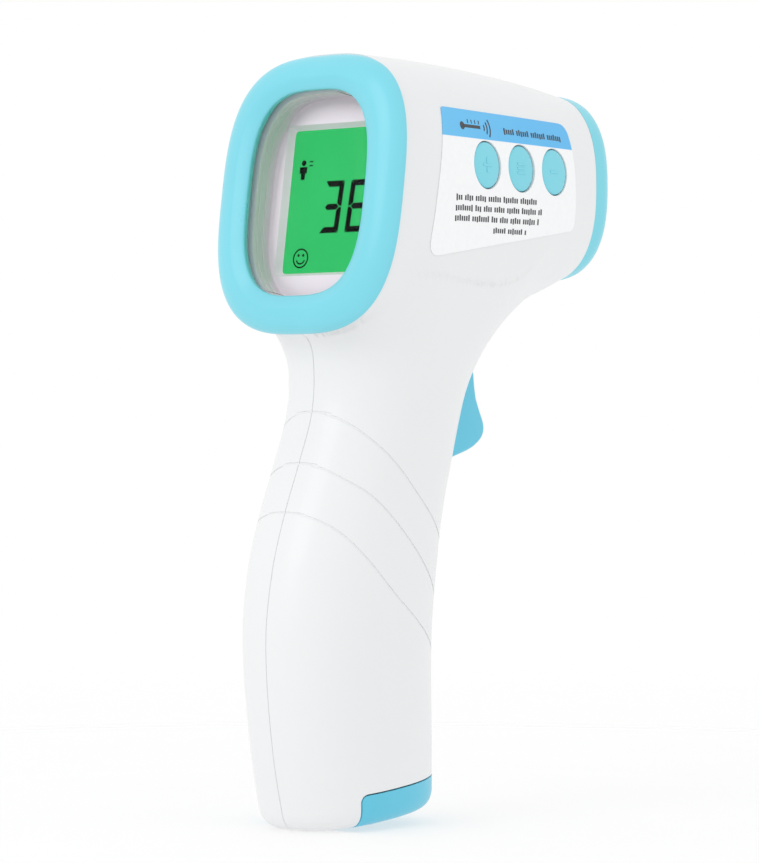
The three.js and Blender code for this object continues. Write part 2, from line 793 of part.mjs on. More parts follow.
function sideLabel() {

	const outside = casingSkin( - LABEL_LIFT - LABEL_THICKNESS );
	const inside = casingSkin( - LABEL_LIFT );
	let film = outside.intersect( solidFrom( extrudeAlongY( labelOutline(), - 30, - 5 ) ) ).subtract( inside );
	for ( let index = 0; index < 3; index ++ ) {

		const hole = rodAlongY( BUTTON_RADIUS + 0.45, - 6, 3, ( index - 1 ) * BUTTON_PITCH, 0, 28 );
		film = film.subtract( placed( hole, sidePlace ) );

	}

	return film;

}

addPiece( 'side_label', sideLabel(), LABEL_FILM );

function buttonCap( index ) {

	const along = ( index - 1 ) * BUTTON_PITCH;
	const cap = solidFrom( rodAlongY( BUTTON_RADIUS, BUTTON_FACE, FLANGE_BACK, along, 0, 32 ) );
	return cap.add( solidFrom( rodAlongY( FLANGE_RADIUS, FLANGE_FRONT, FLANGE_BACK, along, 0, 32 ) ) );

}

function keySwitch( index ) {

	const along = ( index - 1 ) * BUTTON_PITCH;
	const body = boxSolid(
		[ along - 3, SWITCH_TOP, - 3 ], [ along + 3, KEY_BOARD_FRONT - 0.15, 3 ] );
	return body.subtract( solidFrom( rodAlongY( 2, SWITCH_TOP - 1, SWITCH_TOP + 1.2, along, 0, 16 ) ) );

}

BUTTON_NAMES.forEach( ( label, index ) => {

	const along = ( index - 1 ) * BUTTON_PITCH;
	addPiece( `button_${ label }`, buttonCap( index ), TEAL_PLASTIC, sidePlace );
	addPiece( `key_switch_${ label }`, keySwitch( index ), DARK_PLASTIC, sidePlace );
	addPiece(
		`key_plunger_${ label }`, rodAlongY( 1.7, PLUNGER_TIP, SWITCH_TOP + 0.4, along, 0, 16 ),
		SILICONE_GREY, sidePlace );

} );

function keyBoard() {

	const board = roundedRectShape( 3 * BUTTON_PITCH, 14, 1.5, 0, 0 );
	return extrudeAlongY( board, KEY_BOARD_FRONT, KEY_BOARD_FRONT + 1.2 );

}

addPiece( 'key_board', keyBoard(), BOARD_GREEN, sidePlace );

// ---------------------------------------------------------------- trigger

function triggerShape() {

	const shape = new THREE.Shape();
	shape.moveTo( 27.5, 87 );
	shape.quadraticCurveTo( 26.6, 89.8, 25, 92 );
	shape.absarc( TRIGGER_PIVOT.x, TRIGGER_PIVOT.z, TRIGGER_HUB_RADIUS, 3.6, - 0.52, true );
	shape.lineTo( 34.2, 91.8 );
	shape.quadraticCurveTo( 35.5, 91.7, 35.7, 90.4 );
	shape.quadraticCurveTo( 36, 87.5, 36.6, 84.9 );
	shape.quadraticCurveTo( 37.4, 82.4, 38.2, 80.5 );
	shape.quadraticCurveTo( 39.2, 78, 37.4, 76.2 );
	shape.quadraticCurveTo( 35.8, 74.5, 32.4, 73.8 );
	shape.lineTo( 28.2, 72.4 );
	shape.lineTo( 26.6, 74 );
	shape.lineTo( 27.4, 82 );
	return shape;

}

function trigger() {

	const lever = solidFrom( extrudeAlongY( triggerShape(), - TRIGGER_WIDTH / 2, TRIGGER_WIDTH / 2 ) );
	const bore = rodAlongY( PIN_RADIUS + GAP * 0.7, - 10, 10, TRIGGER_PIVOT.x, TRIGGER_PIVOT.z, 16 );
	return lever.subtract( solidFrom( bore ) );

}

addPiece( 'trigger', trigger(), DEEP_TEAL_PLASTIC );
addPiece( 'trigger_pin', rodAlongY( PIN_RADIUS, - 8, 8, TRIGGER_PIVOT.x, TRIGGER_PIVOT.z, 16 ), STEEL );

const TRIGGER_SWITCH_Z = 77.4;
const TRIGGER_TOUCH_X = 26.7;

function triggerSwitch() {

	const body = boxSolid( [ 19.4, - 3.2, TRIGGER_SWITCH_Z - 3.2 ], [ 23.6, 3.2, TRIGGER_SWITCH_Z + 3.2 ] );
	return body.subtract( solidFrom( rodAlongX( 1.9, 21.2, 25, 0, TRIGGER_SWITCH_Z, 16 ) ) );

}

addPiece( 'trigger_switch', triggerSwitch(), DARK_PLASTIC );
addPiece(
	'trigger_plunger', rodAlongX( 1.6, 22.9, TRIGGER_TOUCH_X - GAP, 0, TRIGGER_SWITCH_Z, 16 ), SILICONE_GREY );
const triggerBoard = new THREE.BoxGeometry( 1.2, 12, 16 ).translate( 18.65, 0, TRIGGER_SWITCH_Z + 1 );
addPiece( 'trigger_board', triggerBoard, BOARD_GREEN );

class SpringCurve extends THREE.Curve {

	constructor( radius, length, turns ) {

		super();
		this.radius = radius;
		this.length = length;
		this.turns = turns;

	}

	getPoint( t ) {

		const angle = t * this.turns * 2 * Math.PI;
		return new THREE.Vector3(
			t * this.length, this.radius * Math.cos( angle ), this.radius * Math.sin( angle ) );

	}

}

function circleShape( radius, sides ) {

	const points = [];
	for ( let i = 0; i < sides; i ++ ) {

		const angle = i / sides * 2 * Math.PI;
		points.push( new THREE.Vector2( radius * Math.cos( angle ), radius * Math.sin( angle ) ) );

	}

	return new THREE.Shape( points );

}

function tubeAlong( curve, radius, steps, sides = 6 ) {

	return new THREE.ExtrudeGeometry( circleShape( radius, sides ), { extrudePath: curve, steps } );

}

addPiece(
	'trigger_spring',
	tubeAlong( new SpringCurve( 1.9, 7, 4 ), 0.3, 40, 5 ).translate( 19.9, 0, 84.6 ),
	STEEL );

// ---------------------------------------------------------------- batteries

const cellTop = CELL_START + CELL_LENGTH;
const bayBottom = DOOR_HEIGHT + GAP;
const bayTop = cellTop + 4.4;

function batteryBay() {

	const outline = roundedRectShape( 12.6, 23.4, 6, CELL_X, 0 );
	const options = { depth: bayTop - bayBottom, bevelEnabled: false, curveSegments: 5 };
	const block = new THREE.ExtrudeGeometry( outline, options );
	let bay = solidFrom( block.translate( 0, 0, bayBottom ) );
	[ - 1, 1 ].forEach( ( side ) => {

		bay = bay.subtract(
			solidFrom( rodAlongZ( CELL_RADIUS + GAP, 0, bayTop - 1.2, CELL_X, side * CELL_SPACING, 28 ) ) );
		bay = bay.subtract(
			solidFrom( rodAlongZ( 1.4, bayTop - 2, bayTop + 1, CELL_X, side * CELL_SPACING, 10 ) ) );

	} );
	return bay;

}

addPiece( 'battery_bay', batteryBay(), DARK_PLASTIC, basePlace );

// One cell stands nub up and the other nub down.
function batteryCell( side ) {

	const y = side * CELL_SPACING;
	const nubFrom = side > 0 ? cellTop : CELL_START;
	const nubTo = side > 0 ? cellTop + 0.9 : CELL_START + 0.9;
	const bodyFrom = side > 0 ? CELL_START : CELL_START + 0.9;
	const bodyTo = side > 0 ? cellTop : cellTop + 0.9;
	const body = solidFrom( rodAlongZ( CELL_RADIUS, bodyFrom, bodyTo, CELL_X, y, 28 ) );
	const overlap = 0.2;
	const nub = rodAlongZ(
		1.9, side > 0 ? nubFrom - overlap : nubFrom, side > 0 ? nubTo : nubTo + overlap, CELL_X, y, 16 );
	return body.add( solidFrom( nub ) );

}

addPiece( 'battery_left', batteryCell( 1 ), CELL_WRAP, basePlace );
addPiece( 'battery_right', batteryCell( - 1 ), CELL_WRAP, basePlace );

const contactTop = bayTop - 1.2 - 0.15;
addPiece(
	'positive_contact',
	new THREE.BoxGeometry( 7, 8, 0.4 ).translate( CELL_X, CELL_SPACING, contactTop - 0.2 ), NICKEL, basePlace );

function contactSpring() {

	const coil = tubeAlong( new SpringCurve( 2.6, 1.2, 2 ), 0.22, 24, 5 ).rotateY( - RIGHT_ANGLE );
	return coil.translate( CELL_X, - CELL_SPACING, contactTop - 1.6 );

}

addPiece( 'negative_spring', contactSpring(), STEEL, basePlace );
addPiece(
	'door_contact',
	new THREE.BoxGeometry( 7, 19, 0.4 ).translate( CELL_X, 0, CELL_START - 0.5 ), NICKEL, basePlace );

// ---------------------------------------------------------------- screws and wires

function screw( length ) {

	const headHeight = 1.5;
	const profile = [
		[ 0, 0 ], [ 0.9, 0 ], [ 1, 0.8 ], [ 1, length ], [ 2, length ], [ 2, length + headHeight * 0.6 ],
		[ 1.5, length + headHeight ], [ 0, length + headHeight ],
	];
	const blank = solidFrom( new THREE.LatheGeometry(
		profile.map( ( [ radius, y ] ) => new THREE.Vector2( radius, y ) ), 12 ) );
	const slot = length + headHeight - 0.7;
	return blank
		.subtract( boxSolid( [ - 1.2, slot, - 0.25 ], [ 1.2, slot + 2, 0.25 ] ) )
		.subtract( boxSolid( [ - 0.25, slot, - 1.2 ], [ 0.25, slot + 2, 1.2 ] ) );

}

SCREW_PLACES.forEach( ( { name, x, z } ) => {

	const length = 14;
	const place = new THREE.Matrix4().setPosition( x, SCREW_SEAT_Y + 0.2 - length, z );
	addPiece( name, screw( length ), STEEL, place );

} );

function wire( name, points, material ) {

	const curve = new THREE.CatmullRomCurve3( points.map( ( point ) => new THREE.Vector3( ...point ) ) );
	addPiece( name, tubeAlong( curve, 0.55, 14, 5 ), material );

}

wire( 'battery_wire_positive', [
	[ - 1, 5.6, 53.6 ], [ - 2, 7, 62 ], [ 2, 6, 78 ],
	[ 8.6, 4, 98 ], [ 9.4, 4, 106 ],
], RED_WIRE );
wire( 'battery_wire_negative', [
	[ - 1, - 5.8, 53.6 ], [ - 2, - 7, 62 ], [ 2, - 6, 78 ],
	[ 9.4, - 8, 98 ], [ 10, - 9.6, 103 ],
], BLACK_WIRE );
wire( 'sensor_wire', [
	[ 46.4, 0, 131 ], [ 42, 1, 132 ], [ 30, 4, 138 ],
	[ 18, 4, 142 ], [ 9.3, 3, 139 ],
], WHITE_WIRE );
wire( 'trigger_wire', [
	[ 17, 2, 80 ], [ 14.6, 3, 86 ], [ 15, 4, 96 ],
	[ 12.4, 8, 106 ], [ 9.4, 9, 110 ],
], WHITE_WIRE );
wire( 'key_wire', [
	[ 30, - 9.2, 127.6 ], [ 26, - 6, 125 ],
	[ 18, - 5, 124 ], [ 9.4, - 6, 126 ],
], WHITE_WIRE );

export default thermometer;
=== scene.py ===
"""Looks of a handheld infrared thermometer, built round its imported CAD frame.

Sizes are in millimetres, with heights counted from the base's lowest edge as in the design.
They become metres in the frame's own axes when a mesh is made: +Z up, +X the way the sensor
looks, +Y the user's left.
"""
import json
import math

import bmesh
import bpy
import numpy as np
from mathutils import Matrix, Vector


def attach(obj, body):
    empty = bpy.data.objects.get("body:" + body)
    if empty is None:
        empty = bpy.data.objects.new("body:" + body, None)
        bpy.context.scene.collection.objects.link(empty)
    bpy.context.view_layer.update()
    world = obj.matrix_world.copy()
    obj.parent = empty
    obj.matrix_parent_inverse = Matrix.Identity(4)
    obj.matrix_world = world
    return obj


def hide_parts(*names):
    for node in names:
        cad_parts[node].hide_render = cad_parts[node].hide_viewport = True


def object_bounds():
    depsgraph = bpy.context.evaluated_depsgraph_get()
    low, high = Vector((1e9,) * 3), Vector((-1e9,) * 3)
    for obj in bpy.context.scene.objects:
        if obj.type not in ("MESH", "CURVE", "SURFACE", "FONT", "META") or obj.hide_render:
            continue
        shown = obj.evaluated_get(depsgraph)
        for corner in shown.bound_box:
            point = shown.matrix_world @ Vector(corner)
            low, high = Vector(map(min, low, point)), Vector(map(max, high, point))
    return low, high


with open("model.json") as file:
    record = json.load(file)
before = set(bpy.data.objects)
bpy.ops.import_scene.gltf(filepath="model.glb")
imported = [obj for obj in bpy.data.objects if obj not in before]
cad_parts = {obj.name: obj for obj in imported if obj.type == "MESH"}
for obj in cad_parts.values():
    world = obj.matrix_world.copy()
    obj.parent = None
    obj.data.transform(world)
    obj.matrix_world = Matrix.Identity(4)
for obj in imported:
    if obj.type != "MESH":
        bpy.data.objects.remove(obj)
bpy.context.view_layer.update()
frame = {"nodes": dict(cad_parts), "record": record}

NODES = frame["nodes"]
MM = 0.001
FAR = 200.0

# -------------------- driving dimensions

BASE_HEIGHT = 1.6
BASE_SLOPE = math.radians(5.5)
BASE_ROUND = 4.0
WALL = 2.0
GAP = 0.3
REACH = 62.0
THROAT_Z = 63.0

# Head sections across X: [x, half width, top, bottom, corner power]
HEAD_STATIONS = np.array([
    [-16, 22.4, 152.25, 97.2, 2.9],
    [-4, 21.8, 152.4, 97.4, 2.9],
    [10, 20.6, 152.5, 98.5, 2.8],
    [24, 19.4, 152.2, 100.2, 2.7],
    [38, 18.3, 151.5, 102.4, 2.6],
    [52, 16.9, 150.4, 105.4, 2.5],
    [65, 14.8, 148.8, 109.8, 2.5],
    [78, 12.7, 147, 114.2, 2.5],
])

# Handle sections across Z: [z, rear, front, half width, corner power]
HANDLE_STATIONS = np.array([
    [-2, -17, 19.8, 13.7, 2.35],
    [16, -21.2, 20, 14.4, 2.25],
    [37, -23.2, 19.6, 15, 2.25],
    [51, -21.3, 20.8, 15.1, 2.3],
    [62, -17.7, 22.6, 15, 2.3],
    [72, -13.4, 25.4, 14.8, 2.3],
    [82, -9.6, 28.4, 14.8, 2.3],
    [92, -9.2, 32, 15.2, 2.3],
    [104, -12, 36.5, 16, 2.3],
])
HANDLE_TOP = 102.0
THROAT_BLEND = 18.0
NECK_BLEND = 4.0
BLEND_FROM_X, BLEND_TO_X = -12.0, 6.0

DISPLAY_TILT = math.radians(8.5)
DISPLAY_CENTRE = Vector((-12.9, 0, 125))
CASING_REAR_DEPTH = 4.0
REAR_CAP_DEPTH = -3.0
NOSE_JOIN_X = 63.6
NOSE_FRONT_X = 69.2
NOSE_CAP_X = 74.0
NOSE_RISE = 129.4

BEZEL_OUTER = (23.4, 27.9, 3.0)
BEZEL_INNER = (15.2, 20.5, 3.1)
FRAME_SIZE = (17.4, 22.4, 3.1)
DISPLAY_BORE = (19.8, 25.2, 3.0)
DISPLAY_BORE_DEPTH = 17.0
RECESS_DEPTH = 8.3
LCD_WIDTH = 23.9
LCD_HEIGHT = 28.2
LCD_RISE = -0.2

SIDE_ANGLE = math.radians(4.7)
SIDE_LEAN = math.radians(-2.6)
SIDE_CENTRE = Vector((33.4, -18.6, 131.1))
BUTTON_PITCH = 12.4
BUTTON_RADIUS = 4.62
BUTTON_HOLE_RADIUS = 4.82
BUTTON_FACE = -0.05
FLANGE_RADIUS = 5.6
FLANGE_FRONT = 2.9
FLANGE_BACK = 3.8
BUTTON_NAMES = ("rear", "middle", "front")

DOOR_ROUND = 1.6
DOOR_REAR = -9.1
DOOR_HEIGHT = 6.7
CELL_RADIUS = 5.25
CELL_SPACING = 5.45
CELL_START = 3.1
CELL_X = 2.6

TRIGGER_PIVOT = (27.2, 93.0)
TRIGGER_HUB_RADIUS = 2.4
TRIGGER_WIDTH = 9.4
SCREW_PLACES = ((56, 143), (51, 110.2), (-3.6, 85), (-14.6, 24))
SCREW_SEAT_Y = 6.0

display_place = Matrix.Translation(DISPLAY_CENTRE) @ Matrix.Rotation(DISPLAY_TILT, 4, "Y")
side_place = (Matrix.Translation(SIDE_CENTRE) @ Matrix.Rotation(SIDE_ANGLE, 4, "Z")
              @ Matrix.Rotation(SIDE_LEAN, 4, "X"))
base_place = Matrix.Translation((0, 0, BASE_HEIGHT)) @ Matrix.Rotation(-BASE_SLOPE, 4, "Y")
nose_place = Matrix.Translation((0, 0, NOSE_RISE))

# -------------------- the casing's skin


def station_at(stations, at):
    """The columns of a station table at many places, joined by smooth cubics."""
    keys = stations[:, 0]
    at = np.clip(at, keys[0], keys[-1])
    last = len(keys) - 1
    i = np.clip(np.searchsorted(keys, at, side="left") - 1, 0, last - 1)
    before = np.maximum(i - 1, 0)
    after = np.minimum(i + 2, last)
    span = keys[i + 1] - keys[i]
    t = (at - keys[i]) / span
    columns = []
    for column in stations.T[1:]:
        start, end = column[i], column[i + 1]
        start_slope = (end - column[before]) / (keys[i + 1] - keys[before]) * span
        end_slope = (column[after] - start) / (keys[after] - keys[i]) * span
        rise = end - start
        columns.append(start + t * (start_slope + t * (
            3 * rise - 2 * start_slope - end_slope + t * (start_slope + end_slope - 2 * rise))))
    return columns


def section_distance(a, b, half_a, half_b, power):
    """Distance from a superellipse section, negative inside it."""
    u = np.abs(a) / half_a
    v = np.abs(b) / half_b
    size = np.maximum((u ** power + v ** power) ** (1 / power), 1e-6)
    steepness = np.hypot((u / size) ** (power - 1) / half_a, (v / size) ** (power - 1) / half_b)
    return (size - 1) / steepness


def smooth_union(a, b, reach):
    overlap = np.maximum(reach - np.abs(a - b), 0) / reach
    return np.minimum(a, b) - overlap * overlap * reach / 4


def casing_distance(points, inset=0.0):
    """Distance outside the casing's skin, which is moved inwards by inset."""
    x, y, z = points[..., 0], points[..., 1], points[..., 2]
    head_width, top, bottom, head_power = station_at(HEAD_STATIONS, x)
    head = section_distance(y, z - (top + bottom) / 2, head_width, (top - bottom) / 2, head_power)
    depth = ((x - DISPLAY_CENTRE.x) * math.cos(DISPLAY_TILT)
             - (z - DISPLAY_CENTRE.z) * math.sin(DISPLAY_TILT))
    head = np.maximum(np.maximum(head, x - NOSE_CAP_X), REAR_CAP_DEPTH - depth)
    rear, front, width, power = station_at(HANDLE_STATIONS, z)
    side = section_distance(x - (rear + front) / 2, y, (front - rear) / 2, width, power)
    handle = np.maximum(side, z - HANDLE_TOP)
    forward = np.clip((x - BLEND_FROM_X) / (BLEND_TO_X - BLEND_FROM_X), 0, 1)
    blend = NECK_BLEND + (THROAT_BLEND - NECK_BLEND) * forward * forward * (3 - 2 * forward)
    body = smooth_union(head, handle, blend)
    above_base = (z - BASE_HEIGHT) * math.cos(BASE_SLOPE) - x * math.sin(BASE_SLOPE)
    return -smooth_union(-body, above_base, BASE_ROUND) + inset


def casing_normals(points):
    """The way the skin faces at each point."""
    step = 0.01
    slopes = [casing_distance(points + step * axis) - casing_distance(points - step * axis)
              for axis in np.eye(3)]
    slopes = np.stack(slopes, -1)
    return slopes / np.maximum(np.linalg.norm(slopes, axis=-1, keepdims=True), 1e-9)


def sweep_planes(inset):
    """Level planes up the handle, a fan round the throat, and upright ones along the nose."""
    planes = []
    for step in range(15):
        above = 0.01 + BASE_ROUND * (step / 14) ** 2 + inset
        planes.append((REACH * math.cos(BASE_SLOPE) - above * math.sin(BASE_SLOPE),
                       BASE_HEIGHT + REACH * math.sin(BASE_SLOPE) + above * math.cos(BASE_SLOPE),
                       -BASE_SLOPE))
    for height in np.arange(BASE_ROUND + inset + BASE_HEIGHT + 1, THROAT_Z - 0.5, 1.1):
        angle = -BASE_SLOPE * max(1 - height / 30, 0)
        planes.append((REACH, height - REACH * math.sin(angle), angle))
    fan = np.concatenate([np.arange(0, 18, 0.8), np.arange(18, 22, 0.3), np.arange(22, 30, 0.12),
                          np.arange(30, 90.1, 0.8)])
    planes += [(REACH, THROAT_Z, math.radians(angle)) for angle in fan]
    planes += [(x, THROAT_Z, math.pi / 2) for x in np.arange(REACH + 1, NOSE_CAP_X - inset, 1.0)]
    return np.array(planes)


def last_inside(distance_at, reach, steps, halvings=22):
    """How far each ray goes before it leaves the skin."""
    inside = np.zeros_like(reach)
    outside = reach.copy()
    found = np.zeros(reach.shape, bool)
    for step in range(1, steps + 1):
        s = reach * step / steps
        out = distance_at(s) > 0
        outside = np.where(out & ~found, s, outside)
        found |= out
        inside = np.where(found, inside, s)
    for _ in range(halvings):
        middle = (inside + outside) / 2
        out = distance_at(middle) > 0
        outside = np.where(out, middle, outside)
        inside = np.where(out, inside, middle)
    return inside


def evened(values, reach=7):
    """Running means down a column, so that neighbouring rings start their rays alike."""
    padded = np.pad(values[:, 0], reach, mode="edge")
    kernel = np.ones(2 * reach + 1) / (2 * reach + 1)
    return np.convolve(padded, kernel, mode="valid")[:, None]


def casing_skin(inset, segments=256):
    """Rings of points on the skin, as an array of rings, segments and coordinates."""
    planes = sweep_planes(inset)
    angle = planes[:, 2]
    across = np.stack([-np.cos(angle), np.zeros(len(angle)), np.sin(angle)], -1)
    origin = np.stack([planes[:, 0], np.zeros(len(angle)), planes[:, 1]], -1)

    def at(s, y):
        points = origin[:, None] + across[:, None] * s[..., None]
        points[..., 1] = y
        return casing_distance(points, inset)

    scan = np.tile(np.arange(0, 130, 0.5), (len(planes), 1))
    within = at(scan, 0.0) < 0
    enter = scan[np.arange(len(planes)), within.argmax(1)]
    leave = scan[np.arange(len(planes)), within.shape[1] - 1 - within[:, ::-1].argmax(1)]
    step = np.full((len(planes), 1), 0.5)
    near = enter[:, None] - last_inside(lambda s: at(enter[:, None] - s, 0.0), step, 1)
    far = leave[:, None] + last_inside(lambda s: at(leave[:, None] + s, 0.0), step, 1)
    middle, half = evened((near + far) / 2), evened((far - near) / 2)
    turn = np.linspace(0, 2 * math.pi, segments, endpoint=False)
    breadth = 15.0
    direction = np.stack([np.cos(turn) * half, np.sin(turn) * breadth + 0 * half], -1)
    direction /= np.linalg.norm(direction, axis=-1, keepdims=True)
    reach = last_inside(
        lambda s: at(middle + direction[..., 0] * s, direction[..., 1] * s),
        1.7 * half + np.zeros_like(direction[..., 0]), 150)
    points = origin[:, None] + across[:, None] * (middle + direction[..., 0] * reach)[..., None]
    points[..., 1] = direction[..., 1] * reach
    return points


# -------------------- meshes and cuts


def new_object(name, data):
    obj = bpy.data.objects.new(name, data)
    bpy.context.scene.collection.objects.link(obj)
    return obj


def make_object(name, vertices, faces, place=None):
    """An object from points in millimetres, put in the frame's axes in metres."""
    mesh = bpy.data.meshes.new(name)
    points = np.asarray(vertices, float).reshape(-1, 3)
    if place is not None:
        turn = np.array(place)
        points = points @ turn[:3, :3].T + turn[:3, 3]
    points = (points - [0, 0, BASE_HEIGHT]) * MM
    mesh.from_pydata(points.tolist(), [], faces)
    mesh.update()
    obj = new_object(name, mesh)
    face_outwards(obj)
    return obj


def face_outwards(obj):
    shape = bmesh.new()
    shape.from_mesh(obj.data)
    if shape.calc_volume(signed=True) < 0:
        bmesh.ops.reverse_faces(shape, faces=shape.faces)
    shape.to_mesh(obj.data)
    shape.free()


def tube_object(name, rings, place=None, closed_rings=False):
    """A solid through rings of points; closed_rings joins its ends, and otherwise fans close them."""
    rings = np.asarray(rings, float)
    count, segments = rings.shape[:2]
    vertices = rings.reshape(-1, 3)
    turn = [(k, (k + 1) % segments) for k in range(segments)]
    faces = []
    for ring in range(count if closed_rings else count - 1):
        low, high = ring * segments, (ring + 1) % count * segments
        faces += [(low + k, low + after, high + after, high + k) for k, after in turn]
    if not closed_rings:
        first, last, top = len(vertices), len(vertices) + 1, (count - 1) * segments
        vertices = np.concatenate([vertices, [rings[0].mean(0), rings[-1].mean(0)]])
        for k, after in turn:
            faces += [(first, after, k), (last, top + k, top + after)]
    return make_object(name, vertices, faces, place)


def box_object(low, high, place=None):
    corners = [(x, y, z) for x in (low[0], high[0]) for y in (low[1], high[1]) for z in (low[2], high[2])]
    faces = [(0, 1, 3, 2), (4, 6, 7, 5), (0, 4, 5, 1), (2, 3, 7, 6), (0, 2, 6, 4), (1, 5, 7, 3)]
    return make_object("cutter", corners, faces, place)


def outline_points(outline, steps, inset=0.0):
    """Points spread evenly round a superellipse (half width, half height, power) in (Y, Z)."""
    width, height, power = outline
    turn = np.linspace(0, 2 * math.pi, steps, endpoint=False)
    angle = np.arctan2(height * np.sin(turn), width * np.cos(turn))
    c, s = np.cos(angle), np.sin(angle)
    width, height = width - inset, height - inset
    size = (np.abs(c / width) ** power + np.abs(s / height) ** power) ** (-1 / power)
    return np.stack([c * size, s * size], -1)


def loft_along_x(outline, profile, steps=128):
    """Rings of an outline at each (inset, depth) of a profile, with depth along +X."""
    rings = []
    for inset, depth in profile:
        flat = outline_points(outline, steps, inset)
        rings.append(np.concatenate([np.full((steps, 1), depth), flat], 1))
    return np.array(rings)


def ring_between(inner, outer, profile, steps=160):
    """Rings of a closed band: blend 0 lies on the inner outline and 1 on the outer one."""
    low, high = outline_points(inner, steps), outline_points(outer, steps)
    rings = []
    for blend, depth in profile:
        flat = low + (high - low) * blend
        rings.append(np.concatenate([np.full((steps, 1), depth), flat], 1))
    return np.array(rings)


def smooth_profile(points, steps=6):
    """More points along a profile, joined by Catmull-Rom curves; a doubled point is a corner."""
    points = np.asarray(points, float)
    last = len(points) - 1
    out = []
    for i in range(last):
        before, start, end, after = points[max(i - 1, 0)], points[i], points[i + 1], points[min(i + 2, last)]
        if np.allclose(start, end):
            continue
        for t in np.arange(steps) / steps:
            out.append(0.5 * (2 * start + (end - before) * t
                              + (2 * before - 5 * start + 4 * end - after) * t * t
                              + (3 * start - before - 3 * end + after) * t ** 3))
    out.append(points[-1])
    return np.array(out)


def lathe_rings(profile, axis="X", steps=96):
    """Rings of a profile of (radius, along) turned about an axis."""
    turn = np.linspace(0, 2 * math.pi, steps, endpoint=False)
    rings = []
    for radius, along in profile:
        a, b = radius * np.cos(turn), radius * np.sin(turn)
        c = np.full(steps, float(along))
        rings.append(np.stack({"X": (c, a, b), "Y": (b, c, a)}[axis], -1))
    return np.array(rings)


def rod(radius, low, high, axis, place=None, steps=96):
    return tube_object("cutter", lathe_rings([(radius, low), (radius, high)], axis, steps), place)


def cross_rod(radius, low, high, spot, steps=48):
    """A rod along Y at a spot in (X, Z)."""
    rings = lathe_rings([(radius, low), (radius, high)], "Y", steps)
    return tube_object("cutter", rings + [spot[0], 0, spot[1]])


def slab_faces(count, base=0):
    """Both flat faces and the sides of a slab, whose corners are numbered from base."""
    following = [(k + 1) % count for k in range(count)]
    faces = [tuple(range(base, base + count)), tuple(range(base + 2 * count - 1, base + count - 1, -1))]
    return faces + [(base + k, base + k + count, base + following[k] + count, base + following[k])
                    for k in range(count)]


def prism_along_y(outline, low, high, name="cutter", place=None):
    """A solid from a closed outline in (X, Z), pushed along Y."""
    vertices = [(x, y, z) for y in (low, high) for x, z in outline]
    return make_object(name, vertices, slab_faces(len(outline)), place)


def slabs_from_outlines(name, outlines, low, high, corner, place=None):
    """One object of many flat slabs; corner turns (across, up, level) into a point."""
    vertices, faces = [], []
    for outline in outlines:
        faces += slab_faces(len(outline), len(vertices))
        vertices += [corner(a, b, level) for level in (low, high) for a, b in outline]
    slabs = make_object(name, vertices, faces, place)
    shape = bmesh.new()
    shape.from_mesh(slabs.data)
    bmesh.ops.recalc_face_normals(shape, faces=shape.faces)
    shape.to_mesh(slabs.data)
    shape.free()
    return slabs


def modify(obj, kind, **settings):
    """Adds a modifier and keeps the mesh that it makes."""
    modifier = obj.modifiers.new("change", kind)
    for key, value in settings.items():
        setattr(modifier, key, value)
    graph = bpy.context.evaluated_depsgraph_get()
    mesh = bpy.data.meshes.new_from_object(obj.evaluated_get(graph))
    obj.modifiers.clear()
    old = obj.data
    obj.data = mesh
    mesh.name = obj.name
    bpy.data.meshes.remove(old)
    return obj


def remove_object(obj):
    mesh = obj.data
    bpy.data.objects.remove(obj)
    bpy.data.meshes.remove(mesh)


def combine(target, cutter, operation="DIFFERENCE"):
    """Cuts, joins or intersects target with another closed solid, which is used up."""
    modify(target, "BOOLEAN", operation=operation, object=cutter, solver="MANIFOLD")
    remove_object(cutter)
    return target


def shade(obj, angle):
    """Smooth shading, with edges sharper than angle kept crisp."""
    mesh = obj.data
    mesh.polygons.foreach_set("use_smooth", np.ones(len(mesh.polygons), bool))
    mesh.set_sharp_from_angle(angle=math.radians(angle))
    return obj


def read_all(items, key, kind=float, width=1):
    """One value, or one row of values, for each item of a mesh."""
    values = np.empty(len(items) * width, kind)
    items.foreach_get(key, values)
    return values if width == 1 else values.reshape(-1, width)


def shade_casing(obj, inset=0.0):
    """Exact normals where a face lies on the casing's skin; the rest is shaded by its edges."""
    reach, least_alike = 0.03, 0.4
    shade(obj, 30)
    mesh = obj.data
    points = read_all(mesh.vertices, "co", width=3) / MM + [0, 0, BASE_HEIGHT]
    normals = casing_normals(points)
    face_normals = read_all(mesh.polygons, "normal", width=3)
    corner_vertex = read_all(mesh.loops, "vertex_index", int)
    starts = read_all(mesh.polygons, "loop_start", int)
    corners = np.diff(np.append(starts, len(mesh.loops)))
    owner = np.repeat(np.arange(len(starts)), corners)
    on_skin = np.abs(casing_distance(points, inset)) < reach
    all_on_skin = np.minimum.reduceat(on_skin[corner_vertex], starts)
    alike = (face_normals[owner] * normals[corner_vertex]).sum(-1)
    facing = np.minimum.reduceat(alike, starts) > least_alike
    exact = (all_on_skin & facing)[owner]
    custom = np.where(exact[:, None], normals[corner_vertex], 0.0)
    mesh.normals_split_custom_set(custom.tolist())


# -------------------- materials


